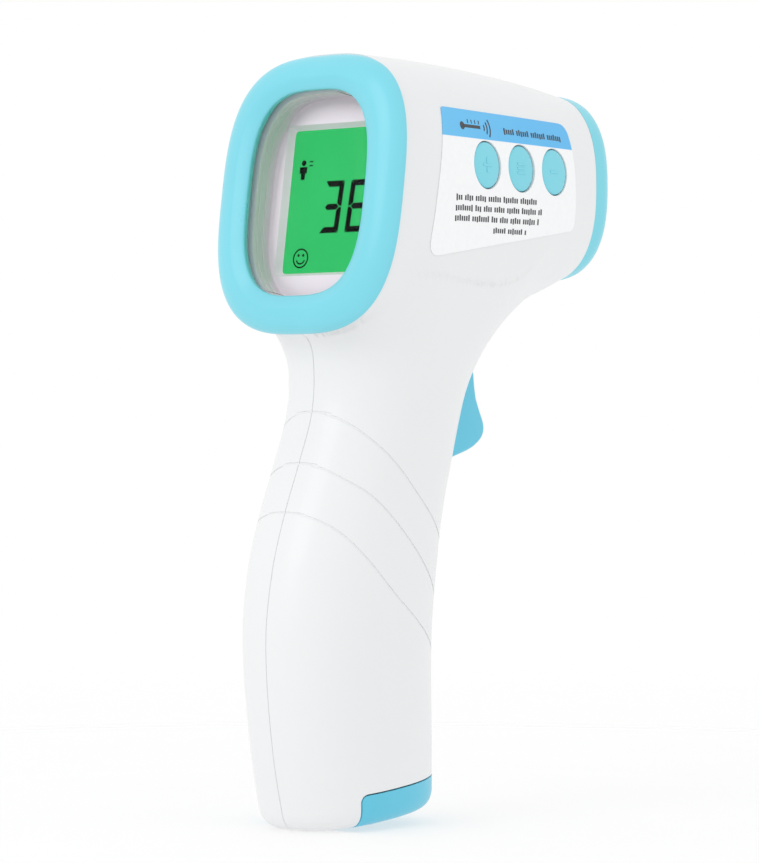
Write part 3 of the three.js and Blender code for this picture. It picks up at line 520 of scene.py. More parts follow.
class Nodes:
    """Short hand for building a material's node tree."""

    def __init__(self, name):
        self.material = bpy.data.materials.new(name)
        self.material.use_nodes = True
        self.tree = self.material.node_tree
        self.tree.nodes.clear()
        self.output = self.add("ShaderNodeOutputMaterial")
        self.place = self.add("ShaderNodeTexCoord").outputs["Object"]

    def add(self, kind, **inputs):
        node = self.tree.nodes.new(kind)
        for key, value in inputs.items():
            self.set(node, key.replace("_", " "), value)
        return node

    def set(self, node, key, value):
        if isinstance(value, bpy.types.NodeSocket):
            self.tree.links.new(value, node.inputs[key])
        else:
            node.inputs[key].default_value = value

    def noise(self, scale, detail=3.0, roughness=0.5, place=None):
        node = self.add("ShaderNodeTexNoise", Scale=scale, Detail=detail, Roughness=roughness)
        self.tree.links.new(place or self.place, node.inputs["Vector"])
        return node.outputs["Fac"]

    def spread(self, value, low, high, from_low=0.3, from_high=0.7):
        """A noise value brought from its usual range to low..high."""
        node = self.add("ShaderNodeMapRange", Value=value, From_Min=from_low, From_Max=from_high,
                        To_Min=low, To_Max=high)
        return node.outputs["Result"]

    def mix(self, factor, first, second, blend="MIX"):
        node = self.tree.nodes.new("ShaderNodeMix")
        node.data_type = "RGBA"
        node.blend_type = blend
        for socket, value in zip(("Factor", "A", "B"), (factor, first, second)):
            target = [s for s in node.inputs if s.name == socket and s.enabled][0]
            if isinstance(value, bpy.types.NodeSocket):
                self.tree.links.new(value, target)
            else:
                target.default_value = value
        return [s for s in node.outputs if s.enabled][0]

    def bump(self, height, strength, distance):
        node = self.add("ShaderNodeBump", Height=height, Strength=strength, Distance=distance * MM)
        return node.outputs["Normal"]

    def surface(self, shader):
        """Puts a shader on the surface and hands over the finished material."""
        self.tree.links.new(shader, self.output.inputs["Surface"])
        return self.material

    def painted(self, **inputs):
        """The finished material, with one principled shader."""
        return self.surface(self.add("ShaderNodeBsdfPrincipled", **inputs).outputs["BSDF"])

    def blended(self, factor, first, second):
        """The finished material, from the first shader at factor 0 to the second one at 1."""
        node = self.tree.nodes.new("ShaderNodeMixShader")
        for target, socket in zip(node.inputs, (factor, first.outputs["BSDF"], second.outputs["BSDF"])):
            self.tree.links.new(socket, target)
        return self.surface(node.outputs["Shader"])


def colour(hex_code):
    """Linear colour from a display colour such as "7fdcea"."""
    values = [int(hex_code[i:i + 2], 16) / 255 for i in (0, 2, 4)]
    return tuple(v / 12.92 if v <= 0.04045 else ((v + 0.055) / 1.055) ** 2.4 for v in values) + (1.0,)


def shifted(base, factor):
    return tuple(min(c * factor, 1.0) for c in base[:3]) + (1.0,)


def moulded(name, hex_code, roughness, grain=0.008, grain_scale=4200, coat=0.0, level=0.5, sheen_shift=0.035):
    """Moulded plastic: a fine spark-eroded grain, faint flow marks and handling sheen."""
    n = Nodes(name)
    base = colour(hex_code)
    flow = n.noise(38, 3, 0.55)
    tint = n.mix(n.spread(flow, 0, 1), shifted(base, 1 - sheen_shift), shifted(base, 1 + sheen_shift))
    fine = n.noise(grain_scale, 2, 0.6)
    smudge = n.noise(120, 4, 0.6)
    return n.painted(Base_Color=tint, Roughness=n.spread(smudge, roughness - 0.05, roughness + 0.05),
                     Normal=n.bump(fine, 0.25, grain), Specular_IOR_Level=level, Coat_Weight=coat,
                     Coat_Roughness=0.12)


def metal(name, hex_code, roughness, streaks=(300, 300, 4000)):
    """Plated or turned metal with fine streaks along one axis."""
    n = Nodes(name)
    base = colour(hex_code)
    stretch = n.add("ShaderNodeMapping", Vector=n.place, Scale=streaks)
    lines = n.noise(1.0, 4, 0.6, stretch.outputs["Vector"])
    patches = n.noise(250, 3)
    return n.painted(Base_Color=n.mix(n.spread(patches, 0, 1), shifted(base, 0.88), shifted(base, 1.05)),
                     Roughness=n.spread(lines, roughness * 0.7, roughness * 1.4),
                     Normal=n.bump(lines, 0.25, 0.01), Metallic=1.0)


def clear_window():
    """Clear polycarbonate that lets light through to the display behind it."""
    n = Nodes("clear_polycarbonate")
    marks = n.noise(600, 3, 0.6)
    shader = n.add("ShaderNodeBsdfPrincipled", Base_Color=(0.985, 0.995, 0.995, 1),
                   Roughness=n.spread(marks, 0.005, 0.03), Transmission_Weight=1.0, IOR=1.001,
                   Coat_Weight=0.1, Coat_Roughness=0.03)
    through = n.add("ShaderNodeBsdfTransparent", Color=(0.99, 0.99, 0.99, 1))
    path = n.add("ShaderNodeLightPath")
    return n.blended(path.outputs["Is Shadow Ray"], shader, through)


def lit_display():
    """Green back-lit liquid crystal, its brightness varying a little in soft patches, with a faint cell grid.
    """
    n = Nodes("lit_green_lcd")
    green, deep = colour("34c26b"), colour("2ab861")
    glow = n.noise(55, 2)
    cells = n.add("ShaderNodeTexBrick", Vector=n.place, Scale=2600.0, Color1=(1, 1, 1, 1),
                  Color2=(0.97, 0.97, 0.97, 1), Mortar=(0.93, 0.93, 0.93, 1))
    tint = n.mix(n.spread(glow, 0, 1), deep, green)
    lit = n.mix(0.6, tint, cells.outputs["Color"], "MULTIPLY")
    return n.painted(Base_Color=shifted(deep, 0.12), Roughness=0.4, Emission_Color=lit,
                     Emission_Strength=0.95, Specular_IOR_Level=0.05)


def printed_film():
    """White printed film with a sky-blue strip along its top."""
    n = Nodes("printed_film")
    strip_bottom, softness = (LABEL_STRIP_Z - BASE_HEIGHT) * MM, 0.03 * MM
    parts = n.add("ShaderNodeSeparateXYZ", Vector=n.place)
    edge = n.spread(parts.outputs["Z"], 0, 1, strip_bottom - softness, strip_bottom + softness)
    fade = n.spread(parts.outputs["X"], 0, 1, 5 * MM, 54 * MM)
    blue = n.mix(fade, colour("66c0f1"), colour("58b7ee"))
    paper = n.mix(n.spread(n.noise(900, 3), 0, 1), colour("f4f5f6"), colour("f7f8f9"))
    return n.painted(Base_Color=n.mix(edge, paper, blue), Roughness=n.spread(n.noise(160, 3), 0.32, 0.42),
                     Normal=n.bump(n.noise(9000, 2), 0.12, 0.004), Specular_IOR_Level=0.4)


def circuit_board():
    n = Nodes("solder_mask")
    tracks = n.add("ShaderNodeTexBrick", Vector=n.place, Scale=420.0, Color1=(0, 0, 0, 1),
                   Color2=(0.2, 0.2, 0.2, 1), Mortar=(1, 1, 1, 1), Mortar_Size=0.03)
    tint = n.mix(tracks.outputs["Color"], colour("1c6b3a"), colour("3c8d55"))
    return n.painted(Base_Color=tint, Roughness=n.spread(n.noise(300), 0.3, 0.45),
                     Normal=n.bump(tracks.outputs["Color"], 0.4, 0.03))


def cell_wrap():
    """Shrink-wrapped cell: a dark sleeve with a metallic band near one end."""
    n = Nodes("cell_wrap_film")
    parts = n.add("ShaderNodeSeparateXYZ", Vector=n.place)
    band_start = 30 * MM
    band = n.spread(parts.outputs["Z"], 0, 1, band_start, band_start + 0.1 * MM)
    return n.painted(Base_Color=n.mix(band, colour("23324c"), colour("c9923c")),
                     Roughness=n.spread(n.noise(500), 0.2, 0.32),
                     Normal=n.bump(n.noise(2500), 0.15, 0.02), Metallic=0.3)


def infrared_glass():
    n = Nodes("infrared_filter")
    return n.painted(Base_Color=n.mix(n.spread(n.noise(700), 0, 1), colour("262a30"), colour("3a3444")),
                     Roughness=n.spread(n.noise(900), 0.04, 0.1), Coat_Weight=0.6)


LABEL_STRIP_Z = 136.15
MATERIALS = {
    "white_plastic": moulded("white_abs", "e9eaeb", 0.36, grain=0.006, coat=0.1, level=0.42,
                             sheen_shift=0.006),
    "teal_plastic": moulded("light_teal_abs", "79d3e3", 0.32, coat=0.12, sheen_shift=0.02),
    "deep_teal_plastic": moulded("deep_teal_abs", "5dc3dd", 0.34, coat=0.1, sheen_shift=0.02),
    "clear_plastic": clear_window(),
    "lcd_glass": lit_display(),
    "light_guide": moulded("milky_light_guide", "dfeee2", 0.4),
    "circuit_board": circuit_board(),
    "dark_plastic": moulded("black_moulding", "222427", 0.5, grain=0.05, grain_scale=3000),
    "plunger_grey": moulded("grey_moulding", "8d9297", 0.6),
    "label_film": printed_film(),
    "cell_wrap": cell_wrap(),
    "polished_aluminium": metal("turned_aluminium", "b9bec3", 0.22, (4000, 300, 300)),
    "nickel": metal("nickel_plate", "cfccc2", 0.24),
    "sensor_glass": infrared_glass(),
    "steel": metal("zinc_plated_steel", "bfc3c7", 0.3),
    "red_wire": moulded("red_insulation", "c23a32", 0.45),
    "black_wire": moulded("black_insulation", "1c1c1c", 0.45),
    "white_wire": moulded("white_insulation", "dedede", 0.45),
}
PRINT = moulded("black_print", "3a3d42", 0.5, grain=0.005)
# The display frame's white leans pink to cancel the green light that the lit display throws on it: a painted
# counter-tint against light, not the moulding's own colour.
FRAME_WHITE_AGAINST_GREEN_LIGHT = moulded("frame_white_tinted_against_green_light", "f2e6ef", 0.4, grain=0.004, coat=0.05, level=0.4, sheen_shift=0.004)
LCD_INK = moulded("lcd_segment_black", "020302", 0.6, grain=0.002, level=0.05)


def settle(obj, slot, nodes=(), angle=None, body="housing", material=None):
    """Gives a finished piece its shading, material and body, and hides the CAD nodes that it stands for."""
    if angle:
        shade(obj, angle)
    obj.data.materials.clear()
    obj.data.materials.append(material or MATERIALS[slot])
    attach(obj, body)
    if nodes:
        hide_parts(*nodes)


# -------------------- casing halves and battery door

outer_rings = casing_skin(0.0)
outer_normals = casing_normals(outer_rings)
inner_rings = casing_skin(WALL)


def offset_skin(depth):
    """The skin moved inwards by a small depth, as a solid."""
    return tube_object("cutter", outer_rings - outer_normals * depth)


def door_block(gap):
    """Everything on the door's side of its seam, which rounds the upper rear corner."""
    round_radius = DOOR_ROUND - gap
    rear, top = DOOR_REAR + gap, DOOR_HEIGHT - gap
    corner = [(rear + round_radius * (1 - math.cos(a)), top - round_radius * (1 - math.sin(a)))
              for a in np.linspace(0, math.pi / 2, 9)]
    outline = [(rear, -FAR)] + corner + [(FAR, top), (FAR, -FAR)]
    return prism_along_y(outline, -FAR, FAR, place=base_place)


GROOVES = (
    ((-14, 84.5), (-9.7, 81.9), (-9.2, 81.0), (-7.9, 79.3), (-5.3, 76.3), (-1.1, 72), (5.6, 65.1),
     (14.4, 57.8), (22, 52.6), (40, 41)),
    ((-18, 74.5), (-13.6, 71.9), (-13.1, 70.9), (-11.1, 68.6), (-7.4, 65.7), (-2, 60.7), (4, 55.1),
     (13.1, 46.9), (22, 39.6), (40, 25.5)),
    ((-22, 65), (-17.7, 62.3), (-16.9, 61.3), (-13.9, 58.4), (-8.7, 52.7), (-0.7, 45.1), (14.9, 34.4),
     (22, 30), (40, 20.5)),
)
GROOVE_WIDTH = 0.42
GROOVE_DEPTH = 0.16
LEFT_GROOVE_RISE = 1.5
RISE_STARTS_OVER, RISE_ENDS_X, RISE_ENDS_OVER = 5, 20, 8


def groove_slab(path, side):
    """A thin slab along a smooth path in (X, Z); the left half's grooves run a little higher."""
    line = smooth_profile(path, 8)
    if side > 0:
        share = np.clip(np.minimum((line[:, 0] - path[1][0]) / RISE_STARTS_OVER,
                                   (RISE_ENDS_X - line[:, 0]) / RISE_ENDS_OVER), 0, 1)
        line[:, 1] += LEFT_GROOVE_RISE * share * share * (3 - 2 * share)
    along = np.gradient(line, axis=0)
    normal = np.stack([-along[:, 1], along[:, 0]], -1)
    normal *= GROOVE_WIDTH / 2 / np.linalg.norm(normal, axis=1, keepdims=True)
    outline = np.concatenate([line + normal, (line - normal)[::-1]])
    low, high = sorted((0, side * 30))
    return prism_along_y(outline, low, high)


def cut_surface_line(shell, slab, depth):
    """Cuts a slab into the casing, no deeper than depth below the skin."""
    combine(shell, combine(slab, offset_skin(depth)))


def key_place(index):
    return side_place @ Matrix.Translation(((index - 1) * BUTTON_PITCH, 0, 0))


def build_casing():
    shell = tube_object("casing", outer_rings)
    combine(shell, tube_object("cutter", inner_rings))
    combine(shell, box_object((-FAR, -FAR, -36), (CASING_REAR_DEPTH, FAR, 36), display_place))
    bore = loft_along_x(DISPLAY_BORE, [(0, 0), (0, DISPLAY_BORE_DEPTH)])
    combine(shell, tube_object("cutter", bore, display_place))
    combine(shell, box_object((NOSE_JOIN_X, -FAR, -FAR), (FAR, FAR, FAR)))
    return shell


RIB_COUNT, RIB_LOW, RIB_PITCH, RIB_HEIGHT, RIB_DEPTH = 4, 1.8, 1.15, 0.5, 0.35


def build_door(shell):
    door = new_object("battery_door_moulding", shell.data.copy())
    combine(door, door_block(GAP), "INTERSECT")
    side = CELL_SPACING + CELL_RADIUS + GAP
    front = CELL_X + CELL_RADIUS + GAP
    combine(door, box_object((-FAR, -side, CELL_START - 0.5), (front, side, FAR), base_place))
    for rib in range(RIB_COUNT):
        low = RIB_LOW + rib * RIB_PITCH
        slab = box_object((15, -6.5, low), (30, 6.5, low + RIB_HEIGHT), base_place)
        cut_surface_line(door, slab, RIB_DEPTH)
    return door


# Radii of the solid screw bosses in the left and right half, and of the holes through them
LEFT_BOSS, RIGHT_BOSS, SCREW_HOLE, SCREW_HEAD_HOLE, PIN_HOLE = 3.4, 2.7, 1.25, 2.4, 1.31


def add_bosses(half, side):
    radius = LEFT_BOSS if side > 0 else RIGHT_BOSS
    bosses = [(radius, 0.15, spot) for spot in SCREW_PLACES]
    bosses.append((RIGHT_BOSS, TRIGGER_WIDTH / 2 + 0.9, TRIGGER_PIVOT))
    for radius, start, spot in bosses:
        boss = cross_rod(radius, side * start, side * 30, spot)
        combine(half, combine(boss, offset_skin(0.5), "INTERSECT"), "UNION")


def cut_screw_holes(half, side):
    combine(half, cross_rod(PIN_HOLE, -8.5, 8.5, TRIGGER_PIVOT, 32))
    for spot in SCREW_PLACES:
        combine(half, cross_rod(SCREW_HOLE, -8.5, 12, spot, 32))
        if side > 0:
            combine(half, cross_rod(SCREW_HEAD_HOLE, SCREW_SEAT_Y, 30, spot, 64))


def cut_key_holes(half):
    for index in range(3):
        place = key_place(index)
        combine(half, rod(BUTTON_HOLE_RADIUS, -6, 3, "Y", place))
        combine(half, rod(FLANGE_RADIUS + GAP, FLANGE_FRONT - GAP, FLANGE_BACK + 2, "Y", place))


SLOT_BOTTOM, SLOT_TOP, SLOT_HALF_WIDTH = 71.8, 92.1, 4.95
SEAM_HALF_WIDTH, SEAM_DEPTH, SEAM_GAP = 0.11, 0.06, 0.03


def cut_trigger_slot(half):
    outline = (SLOT_HALF_WIDTH, (SLOT_TOP - SLOT_BOTTOM) / 2, 9)
    rings = loft_along_x(outline, [(0, 16), (0, REACH)], 96) + [0, 0, (SLOT_TOP + SLOT_BOTTOM) / 2]
    combine(half, tube_object("cutter", rings))


def build_casing_pieces():
    shell = build_casing()
    door = build_door(shell)
    combine(shell, door_block(0))
    seam = box_object((-FAR, -SEAM_HALF_WIDTH, -FAR), (FAR, SEAM_HALF_WIDTH, FAR))
    cut_surface_line(shell, seam, SEAM_DEPTH)
    cut_trigger_slot(shell)
    for side, name, node in ((1, "left_casing", "left_shell"), (-1, "right_casing", "right_shell")):
        half = new_object(name, shell.data.copy())
        low, high = sorted((side * SEAM_GAP, side * FAR))
        combine(half, box_object((-FAR, low, -FAR), (FAR, high, FAR)), "INTERSECT")
        for path in GROOVES:
            cut_surface_line(half, groove_slab(path, side), GROOVE_DEPTH)
        add_bosses(half, side)
        cut_screw_holes(half, side)
        if side < 0:
            cut_key_holes(half)
        shade_casing(half)
        settle(half, "white_plastic", [node])
    remove_object(shell)
    shade_casing(door)
    settle(door, "deep_teal_plastic", ["battery_door"], body="battery_door")


build_casing_pieces()

# -------------------- display

BEZEL_REAR = CASING_REAR_DEPTH - GAP


def build_bezel():
    """A broad convex band with a raised line where its inner slope starts."""
    corners = [(0.0, BEZEL_REAR), (0.0, 1.2), (0.008, 1.04), (0.08, 0.72), (0.18, 0.38), (0.27, 0.14),
               (0.33, 0.02), (0.37, 0.0), (0.42, 0.03), (0.52, 0.14), (0.64, 0.38), (0.76, 0.8), (0.86, 1.36),
               (0.93, 1.98), (0.975, 2.65), (0.995, 3.3), (1.0, BEZEL_REAR)]
    bezel = tube_object("display_surround", ring_between(BEZEL_INNER, BEZEL_OUTER, corners, 200),
                        display_place, closed_rings=True)
    modify(bezel, "SUBSURF", levels=1, render_levels=1)
    settle(bezel, "teal_plastic", ["display_bezel"], 45)


def build_window():
    """A clear tub whose pane closes the bezel and whose wall reaches the white frame."""
    rim = 1.2
    profile = [(0.6, 1.1), (0.25, 1.16), (0.06, 1.35), (0, 1.6), (0, RECESS_DEPTH - 0.2),
               (0.2, RECESS_DEPTH), (rim - 0.2, RECESS_DEPTH), (rim, RECESS_DEPTH - 0.2), (rim, 3.1),
               (rim + 0.15, 2.75), (rim + 0.5, 2.6)]
    outline = (BEZEL_INNER[0] - GAP, BEZEL_INNER[1] - GAP, BEZEL_INNER[2])
    window = tube_object("clear_window", loft_along_x(outline, profile, 200), display_place)
    settle(window, "clear_plastic", ["display_window"], 40)


FRAME_FRONT = RECESS_DEPTH + GAP
LCD_FRONT = FRAME_FRONT + 1.6
FRAME_REAR = FRAME_FRONT + 2.2
LCD_BACK = LCD_FRONT + 1.9


def build_frame():
    """The white frame round the glass: a plate with a sloped sight and a skirt round the window's wall."""
    sight = (LCD_WIDTH / 2, LCD_HEIGHT / 2 + 0.4, 40)
    back = LCD_FRONT - 0.02
    skirt = [(-0.05, CASING_REAR_DEPTH), (-0.05, 4.9), (-0.4, 5.1), (-0.05, 5.3), (-0.05, 6.5), (-0.4, 6.7),
             (-0.05, 6.9), (-0.05, FRAME_FRONT)]
    slope = [(-0.95, FRAME_FRONT), (-0.8, FRAME_FRONT + 0.04), (-0.05, LCD_FRONT - 0.12), (0, back)]
    rings = np.concatenate([
        loft_along_x(FRAME_SIZE, [(0, FRAME_REAR), (0, CASING_REAR_DEPTH)], 240),
        loft_along_x(BEZEL_INNER, skirt, 240),
        loft_along_x(sight, slope, 240) + [0, 0, LCD_RISE + 0.4],
        loft_along_x(FRAME_SIZE, [(0.9, back), (0.9, FRAME_REAR)], 240)])
    frame_piece = tube_object("white_display_frame", rings, display_place, closed_rings=True)
    # The frame takes the pink-leaning white that offsets the display's green light, a painted counter-tint.
    settle(frame_piece, "white_plastic", ["display_frame"], 30, material=FRAME_WHITE_AGAINST_GREEN_LIGHT)


def build_lcd():
    outline = (LCD_WIDTH / 2 + 1.3, LCD_HEIGHT / 2 + 2.3, 24)
    rings = loft_along_x(outline, [(0.3, LCD_FRONT), (0, LCD_FRONT + 0.2), (0, LCD_BACK)], 160)
    panel = tube_object("lcd_glass_panel", rings + [0, 0, LCD_RISE], display_place)
    settle(panel, "lcd_glass", ["lcd_panel"], 40)


# Marks on the display are drawn in (across, up) from the glass's middle, as the user sees it.
DIGIT_SEGMENTS = {"3": "abcdg", "6": "acdefg", "5": "acdfg"}


SEGMENT_CUT, SEGMENT_TRIM, DIGIT_LEAN = 0.42, 0.1, 0.06


def segment_outline(key, width, height, thickness):
    """One bar of a digit: drawn at the bottom or lower left, and mirrored to where its letter is."""
    gap, half, middle = thickness * SEGMENT_TRIM, thickness / 2, height / 2
    inner = thickness * SEGMENT_CUT * 2
    level = [(gap, 0), (width - gap, 0), (width - gap - inner, thickness), (gap + inner, thickness)]
    upright = [(0, gap), (0, middle - gap), (half, middle - gap), (thickness, middle - half - gap),
               (thickness, gap + inner)]
    central = [(gap + half, middle), (gap + thickness, middle + half),
               (width - gap - thickness, middle + half), (width - gap - half, middle),
               (width - gap - thickness, middle - half), (gap + thickness, middle - half)]
    outline = {"a": level, "d": level, "g": central}.get(key, upright)
    return [(width - x if key in "bc" else x, height - y if key in "abf" else y) for x, y in outline]


def digit_outlines(digit, left, bottom, width, height, thickness):
    bars = [segment_outline(key, width, height, thickness) for key in DIGIT_SEGMENTS[digit]]
    return [[(left + x + y * DIGIT_LEAN, bottom + y) for x, y in bar] for bar in bars]


def circle_outline(x, y, radius, steps=40, start=0.0, stop=2 * math.pi):
    angles = np.linspace(start, stop, steps, endpoint=stop - start < 6)
    return [(x + radius * math.cos(a), y + radius * math.sin(a)) for a in angles]


def band_outline(x, y, radius, thickness, start, stop, steps=24):
    """A curved stroke."""
    outside, inside = [circle_outline(x, y, radius + side * thickness / 2, steps, start, stop)
                       for side in (1, -1)]
    return outside + inside[::-1]


def bar_outline(x, y, width, height):
    return [(x, y), (x + width, y), (x + width, y + height), (x, y + height)]


def full_ring(x, y, radius, thickness):
    """Two half bands, since a slab has no hole."""
    return [band_outline(x, y, radius, thickness, turn + 0.01, turn + math.pi - 0.01, 40)
            for turn in (0, math.pi)]


DIGIT_HEIGHT = 10.5
DIGIT_WIDTH = 4.95
DIGIT_PITCH = 6.7
DIGIT_LEFT = -3.35
DIGIT_BOTTOM = -6.15
SEGMENT_THICKNESS = 1.2


def build_lcd_marks():
    outlines = []
    for place, digit in enumerate("36"):
        left = DIGIT_LEFT + place * DIGIT_PITCH
        outlines += digit_outlines(digit, left, DIGIT_BOTTOM, DIGIT_WIDTH, DIGIT_HEIGHT, SEGMENT_THICKNESS)
    point = DIGIT_LEFT + 2 * DIGIT_PITCH - 0.35
    outlines.append(bar_outline(point, DIGIT_BOTTOM, 0.9, 0.9))
    outlines += digit_outlines("5", point + 1.35, DIGIT_BOTTOM, 3.9, 7.2, 0.9)
    outlines += person_marks(-9.0, 7.9)
    outlines += face_marks(-7.45, -11.05)
    marks = slabs_from_outlines(
        "lcd_marks", outlines, LCD_FRONT - 0.05, LCD_FRONT - 0.01,
        lambda x, y, depth: (depth, -x, y + LCD_RISE), display_place)
    settle(marks, "lcd_glass", material=LCD_INK)


def person_marks(x, y):
    """A plain standing figure, head, shoulders and body, with two short dashes beside it."""
    body = [(x - 0.95, y - 0.4), (x + 0.95, y - 0.4), (x + 0.95, y - 1.7), (x + 0.55, y - 1.7),
            (x + 0.48, y - 3.0), (x - 0.48, y - 3.0), (x - 0.55, y - 1.7), (x - 0.95, y - 1.7)]
    dashes = [bar_outline(x + 1.5, y + rise, 0.9, 0.25) for rise in (0.5, -0.3)]
    return [circle_outline(x, y + 0.4, 0.58), body] + dashes


def face_marks(x, y):
    """A plain smiling face: a ring, two eyes and a mouth."""
    marks = full_ring(x, y, 1.85, 0.3)
    marks += [circle_outline(x + side * 0.62, y + 0.6, 0.28, 20) for side in (-1, 1)]
    marks.append(band_outline(x, y, 1.1, 0.3, math.radians(200), math.radians(340)))
    return marks


build_bezel()
build_window()
build_frame()
build_lcd()
build_lcd_marks()

# -------------------- nose and sensor

NOSE_OUTLINE = (14.95, 19.6, 2.5)
NOSE_OPENING = (10.9, 15.2, 2.5)
PLATE_FRONT, PLATE_BACK = 67.4, 65.8
CONE_MOUTH = 7.6


def build_nose():
    join, front = NOSE_JOIN_X + 0.14, NOSE_FRONT_X
    profile = [(0, join), (0, front - 1.0), (0.05, front - 0.45), (0.16, front - 0.08), (0.3, front),
               (0.6, front), (0.72, front - 0.12), (0.84, front - 0.6), (0.93, front - 1.4),
               (0.98, front - 2.4), (1, front - 3.6), (1, join)]
    rings = ring_between(NOSE_OPENING, NOSE_OUTLINE, profile)
    ring = tube_object("nose_surround", rings, nose_place, closed_rings=True)
    settle(ring, "teal_plastic", ["nose_ring"], 45)
    face = (NOSE_OPENING[0] - GAP, NOSE_OPENING[1] - GAP, NOSE_OPENING[2])
    rings = loft_along_x(face, [(0, PLATE_BACK), (0, PLATE_FRONT - 0.2), (0.2, PLATE_FRONT)], 160)
    plate = tube_object("nose_face", rings, nose_place)
    combine(plate, rod(CONE_MOUTH + GAP, PLATE_BACK - 1, PLATE_FRONT + 1, "X", nose_place, steps=128))
    settle(plate, "white_plastic", ["nose_plate"], 35)


def build_sensor():
    """The funnel, the can at its end and the can's window, turned from (radius, along) profiles."""
    funnel = [(CONE_MOUTH, 67), (CONE_MOUTH, 64), (6.2, 56), (6.2, 48.5), (5.2, 48.5), (5.2, 55.2), (4, 55.2),
              (4, 57), (4.3, 59.4), (4.85, 62), (5.6, 64.6), (6.5, 66.7), (6.9, 67)]
    can = [(4.9, 48.6), (4.9, 49.2), (4.6, 49.4), (4.6, 53.9), (4.3, 54.2), (2.95, 54.2), (2.9, 54.1),
           (2.9, 53)]
    lens = [(2.6, 53.3), (2.6, 53.85), (2.45, 54.0)]
    for name, profile, slot, node in (("sensor_funnel", funnel, "polished_aluminium", "sensor_cone"),
                                      ("sensor_metal_can", can, "nickel", "sensor_can"),
                                      ("infrared_window", lens, "sensor_glass", "sensor_window")):
        piece = tube_object(name, lathe_rings(profile), nose_place, closed_rings=profile is funnel)
        settle(piece, slot, [node], 30)


build_nose()
build_sensor()

# -------------------- keys


def key_icon(index):
    """Raised outlines on the key, in (across, up): a plus, three lines and a minus."""
    if index == 1:
        return [bar_outline(-1.4, y, 2.8, 0.42) for y in (-1.1, -0.21, 0.68)]
    dash = [bar_outline(-1.5, -0.25, 3.0, 0.5)]
    return dash + [bar_outline(-0.25, y, 0.5, 1.2) for y in (0.3, -1.5) if index == 0]


def build_key(index, name):
    face, rim = BUTTON_FACE, BUTTON_RADIUS
    profile = [(rim * part, face + 0.02 + 0.16 * part ** 3) for part in np.arange(1, 8) / 8]
    profile += [(rim - 0.22, face + 0.17), (rim - 0.08, face + 0.28), (rim, face + 0.5), (rim, FLANGE_FRONT),
                (FLANGE_RADIUS, FLANGE_FRONT), (FLANGE_RADIUS, FLANGE_BACK)]
    place = key_place(index)
    key = tube_object(f"key_cap_{name}", lathe_rings(profile, "Y"), place)
    for outline in key_icon(index):
        combine(key, prism_along_y(outline, face - 0.08, face + 0.6, place=place), "UNION")
    settle(key, "teal_plastic", [f"button_{name}"], 40, body=f"button_{name}")


for key_index, key_name in enumerate(BUTTON_NAMES):
    build_key(key_index, key_name)

# -------------------- side label

LABEL_LIFT = 0.03
LABEL_TOP = 0.16
PRINT_GAP, PRINT_TOP = 0.005, 0.03
BLOCK_PITCH, WORD_GAP, BLOCK_SHARE = 0.78, 0.7, 0.62


def curve_to(points, control, end, steps=10):
    """Adds a quadratic curve to an outline."""
    start, control, end = np.array(points[-1]), np.array(control), np.array(end)
    for t in np.arange(1, steps + 1) / steps:
        points.append(tuple((1 - t) ** 2 * start + 2 * t * (1 - t) * control + t * t * end))


def label_outline():
    points = [(7.9, 141.9), (50.2, 141.5)]
    curve_to(points, (52.6, 141.4), (53, 139.2))
    curve_to(points, (54.4, 131), (54.3, 121.2))
    curve_to(points, (54.2, 119.6), (52.6, 119.3))
    points.append((3.8, 112.4))
    curve_to(points, (1.0, 112.0), (1.3, 114.8))
    points.append((6.8, 140.9))
    curve_to(points, (6.9, 141.9), (7.9, 141.9))
    return points[:-1]


def skin_layer(outline_solid, low, high):
    """The part of a solid that lies between two heights above the skin."""
    combine(outline_solid, offset_skin(-high), "INTERSECT")
    combine(outline_solid, offset_skin(-low))
    return outline_solid


def build_label():
    film = skin_layer(prism_along_y(label_outline(), -30, -5, "printed_label"), LABEL_LIFT, LABEL_TOP)
    for index in range(3):
        combine(film, rod(BUTTON_HOLE_RADIUS + 0.08, -6, 3, "Y", key_place(index)))
    shade_casing(film, -LABEL_TOP)
    settle(film, "label_film", ["side_label"])


# Rows that stand for lettering: (first x, last x, z of the middle at the first x, height, slope)
PRINT_ROWS = (
    (9.8, 39.3, 124.1, 1.15, 0.015),
    (9.6, 41.3, 122.05, 1.15, 0.015),
    (9.4, 40.9, 120.0, 1.15, 0.015),
    (23.3, 36.2, 118.1, 1.05, 0.01),
    (28.0, 49.8, 138.25, 1.15, -0.005),
)


def row_blocks(row, first, last, height_z, height, slope):
    """Small blocks in word-like groups, some taller, that read as greyed-out lettering."""
    outlines = []
    x = first
    for word in range(12):
        for block in range(3 + (row * 5 + word * 7) % 6):
            if x + BLOCK_PITCH > last:
                return outlines
            tall = (word * 3 + block * 5 + row) % 4 == 0
            top = height * (0.62 if tall else 0.42)
            bottom = height * (0.55 if (word + block * 3) % 7 == 0 else 0.42)
            z = height_z + (x - first) * slope
            outlines.append(bar_outline(x, z - bottom, BLOCK_PITCH * BLOCK_SHARE, top + bottom))
            x += BLOCK_PITCH
        x += WORD_GAP
    return outlines


def strip_symbol():
    """A plain thermometer symbol with three short rays, on the strip."""
    x, z = 13.2, 138.5
    marks = [circle_outline(x, z, 0.8, 28), bar_outline(x + 0.4, z - 0.32, 6.0, 0.64)]
    marks += [bar_outline(x + 2.0 + 1.3 * k, z + 0.6, 0.3, 0.75) for k in range(4)]
    marks += [band_outline(x + 6.8, z, 1.0 + 1.05 * k, 0.38, -0.6, 0.6, 12) for k in range(3)]
    return marks


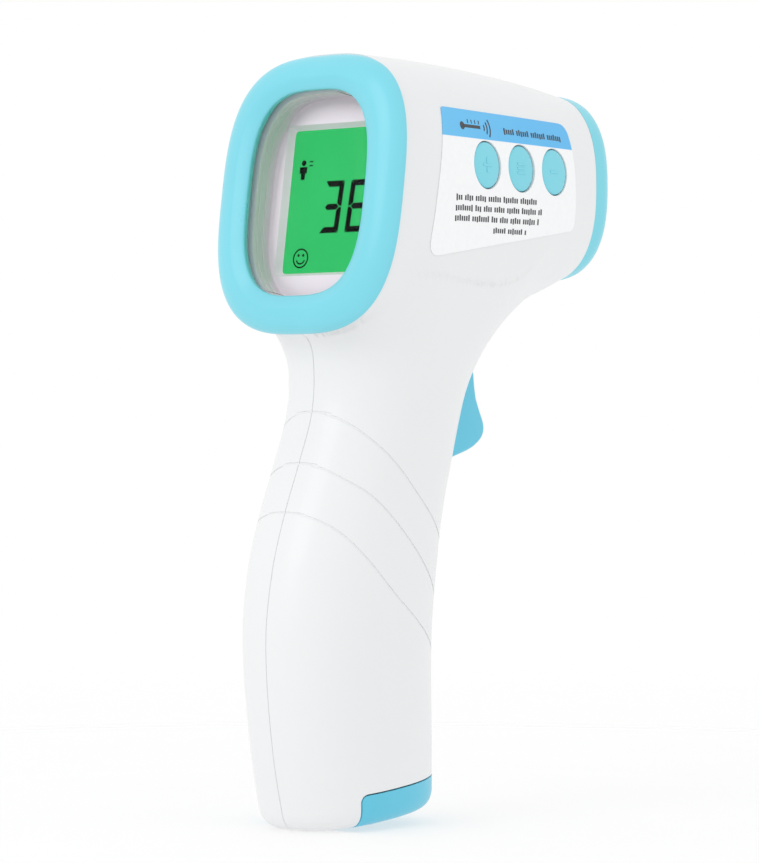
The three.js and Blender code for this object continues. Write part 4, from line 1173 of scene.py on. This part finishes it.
def build_print():
    outlines = strip_symbol()
    for row, place in enumerate(PRINT_ROWS):
        outlines += row_blocks(row, *place)
    printed = slabs_from_outlines("label_print", outlines, -30, -5, lambda x, z, y: (x, y, z))
    skin_layer(printed, LABEL_TOP + PRINT_GAP, LABEL_TOP + PRINT_TOP)
    settle(printed, "label_film", angle=30, material=PRINT)


build_label()
build_print()

# -------------------- trigger


def blade_outline():
    """The lever's blade in (X, Z), without the hub that it turns on."""
    points = [(27.5, 87), (26.6, 91.4), (33.6, 91.7)]
    curve_to(points, (35.9, 91.7), (35.9, 89.2), 5)
    curve_to(points, (36.1, 87), (36.6, 84.9), 4)
    curve_to(points, (37.6, 82.5), (38.7, 80.6), 5)
    curve_to(points, (40, 78), (38, 76.3), 7)
    curve_to(points, (36.2, 74.7), (32.4, 73.7), 5)
    points += [(28.4, 72.6), (26.8, 74.6), (27.4, 82)]
    return points


def build_trigger():
    half_width, hub = TRIGGER_WIDTH / 2, TRIGGER_WIDTH / 2 - 0.1
    trigger = prism_along_y(blade_outline(), -half_width, half_width, "finger_trigger")
    modify(trigger, "BEVEL", width=0.8 * MM, segments=4, limit_method="ANGLE",
           angle_limit=math.radians(60), use_clamp_overlap=False)
    combine(trigger, cross_rod(TRIGGER_HUB_RADIUS, -hub, hub, TRIGGER_PIVOT, 64), "UNION")
    combine(trigger, cross_rod(PIN_HOLE, -10, 10, TRIGGER_PIVOT))
    settle(trigger, "deep_teal_plastic", ["trigger"], 35, body="trigger")


build_trigger()

# -------------------- carried-over CAD nodes

SLOT_OF = {part["node"]: part["material_slot"] for part in frame["record"]["subparts"]}
for node_name, node in NODES.items():
    if not node.hide_render:
        node.data.materials.clear()
        node.data.materials.append(MATERIALS[SLOT_OF[node_name]])
        shade(node, 35)

# -------------------- camera, light and floor

# Place in metres and heading in degrees; the lens comes from its length in pixels and the frame's height.
CAMERA_PLACE = (-0.54055, -0.46281, 0.0764)
CAMERA_HEADING = -50
LENS_IN_PIXELS, FRAME_HEIGHT = 3590, 863
SENSOR = 36


def add_camera():
    lens_data = bpy.data.cameras.new("camera")
    lens_data.lens = LENS_IN_PIXELS / FRAME_HEIGHT * SENSOR
    lens_data.sensor_width = SENSOR
    camera = new_object("camera", lens_data)
    camera.location = CAMERA_PLACE
    camera.rotation_euler = (math.radians(90), 0, math.radians(CAMERA_HEADING))
    bpy.context.scene.camera = camera


LIGHT_PLACE = (-0.85, 0.1, 0.6)
LIGHT_TARGET = (0.01, 0, 0.09)
LIGHT_SIZE, LIGHT_POWER, SKY_STRENGTH = 0.6, 1.35, 1.0


def add_lights():
    """One soft lamp, above and behind the display's side, in an evenly white studio."""
    light_data = bpy.data.lights.new("key_light", "AREA")
    light_data.shape = "DISK"
    light_data.size = LIGHT_SIZE
    light_data.energy = LIGHT_POWER
    light = new_object("key_light", light_data)
    light.location = LIGHT_PLACE
    light.rotation_euler = (Vector(LIGHT_TARGET) - light.location).to_track_quat("-Z", "Y").to_euler()
    world = bpy.data.worlds.new("studio")
    world.use_nodes = True
    background = world.node_tree.nodes["Background"]
    background.inputs["Color"].default_value = (1, 1, 1, 1)
    background.inputs["Strength"].default_value = SKY_STRENGTH
    bpy.context.scene.world = world


def add_floor():
    """A pale disc that fades out, so no horizon crosses the view."""
    floor_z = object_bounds()[0].z - 0.0002
    radius, fade_from, corners = 0.5, 0.12, 96
    rim = [(x, y, floor_z) for x, y in circle_outline(0, 0, radius, corners)]
    mesh = bpy.data.meshes.new("floor")
    mesh.from_pydata(rim, [], [tuple(range(corners))])
    floor = new_object("floor", mesh)
    n = Nodes("pale_floor")
    distance = n.add("ShaderNodeVectorMath")
    distance.operation = "LENGTH"
    n.tree.links.new(n.place, distance.inputs[0])
    fade = n.spread(distance.outputs["Value"], 0.6, 1, fade_from, radius - 0.02)
    paint = n.add("ShaderNodeBsdfPrincipled", Roughness=n.spread(n.noise(60), 0.55, 0.65),
                  Base_Color=n.mix(n.noise(25), (0.93, 0.93, 0.93, 1), (0.95, 0.95, 0.95, 1)),
                  Specular_IOR_Level=0.1)
    mesh.materials.append(n.blended(fade, paint, n.add("ShaderNodeBsdfTransparent")))


add_camera()
add_lights()
add_floor()
bpy.context.scene.view_settings.view_transform = "Standard"
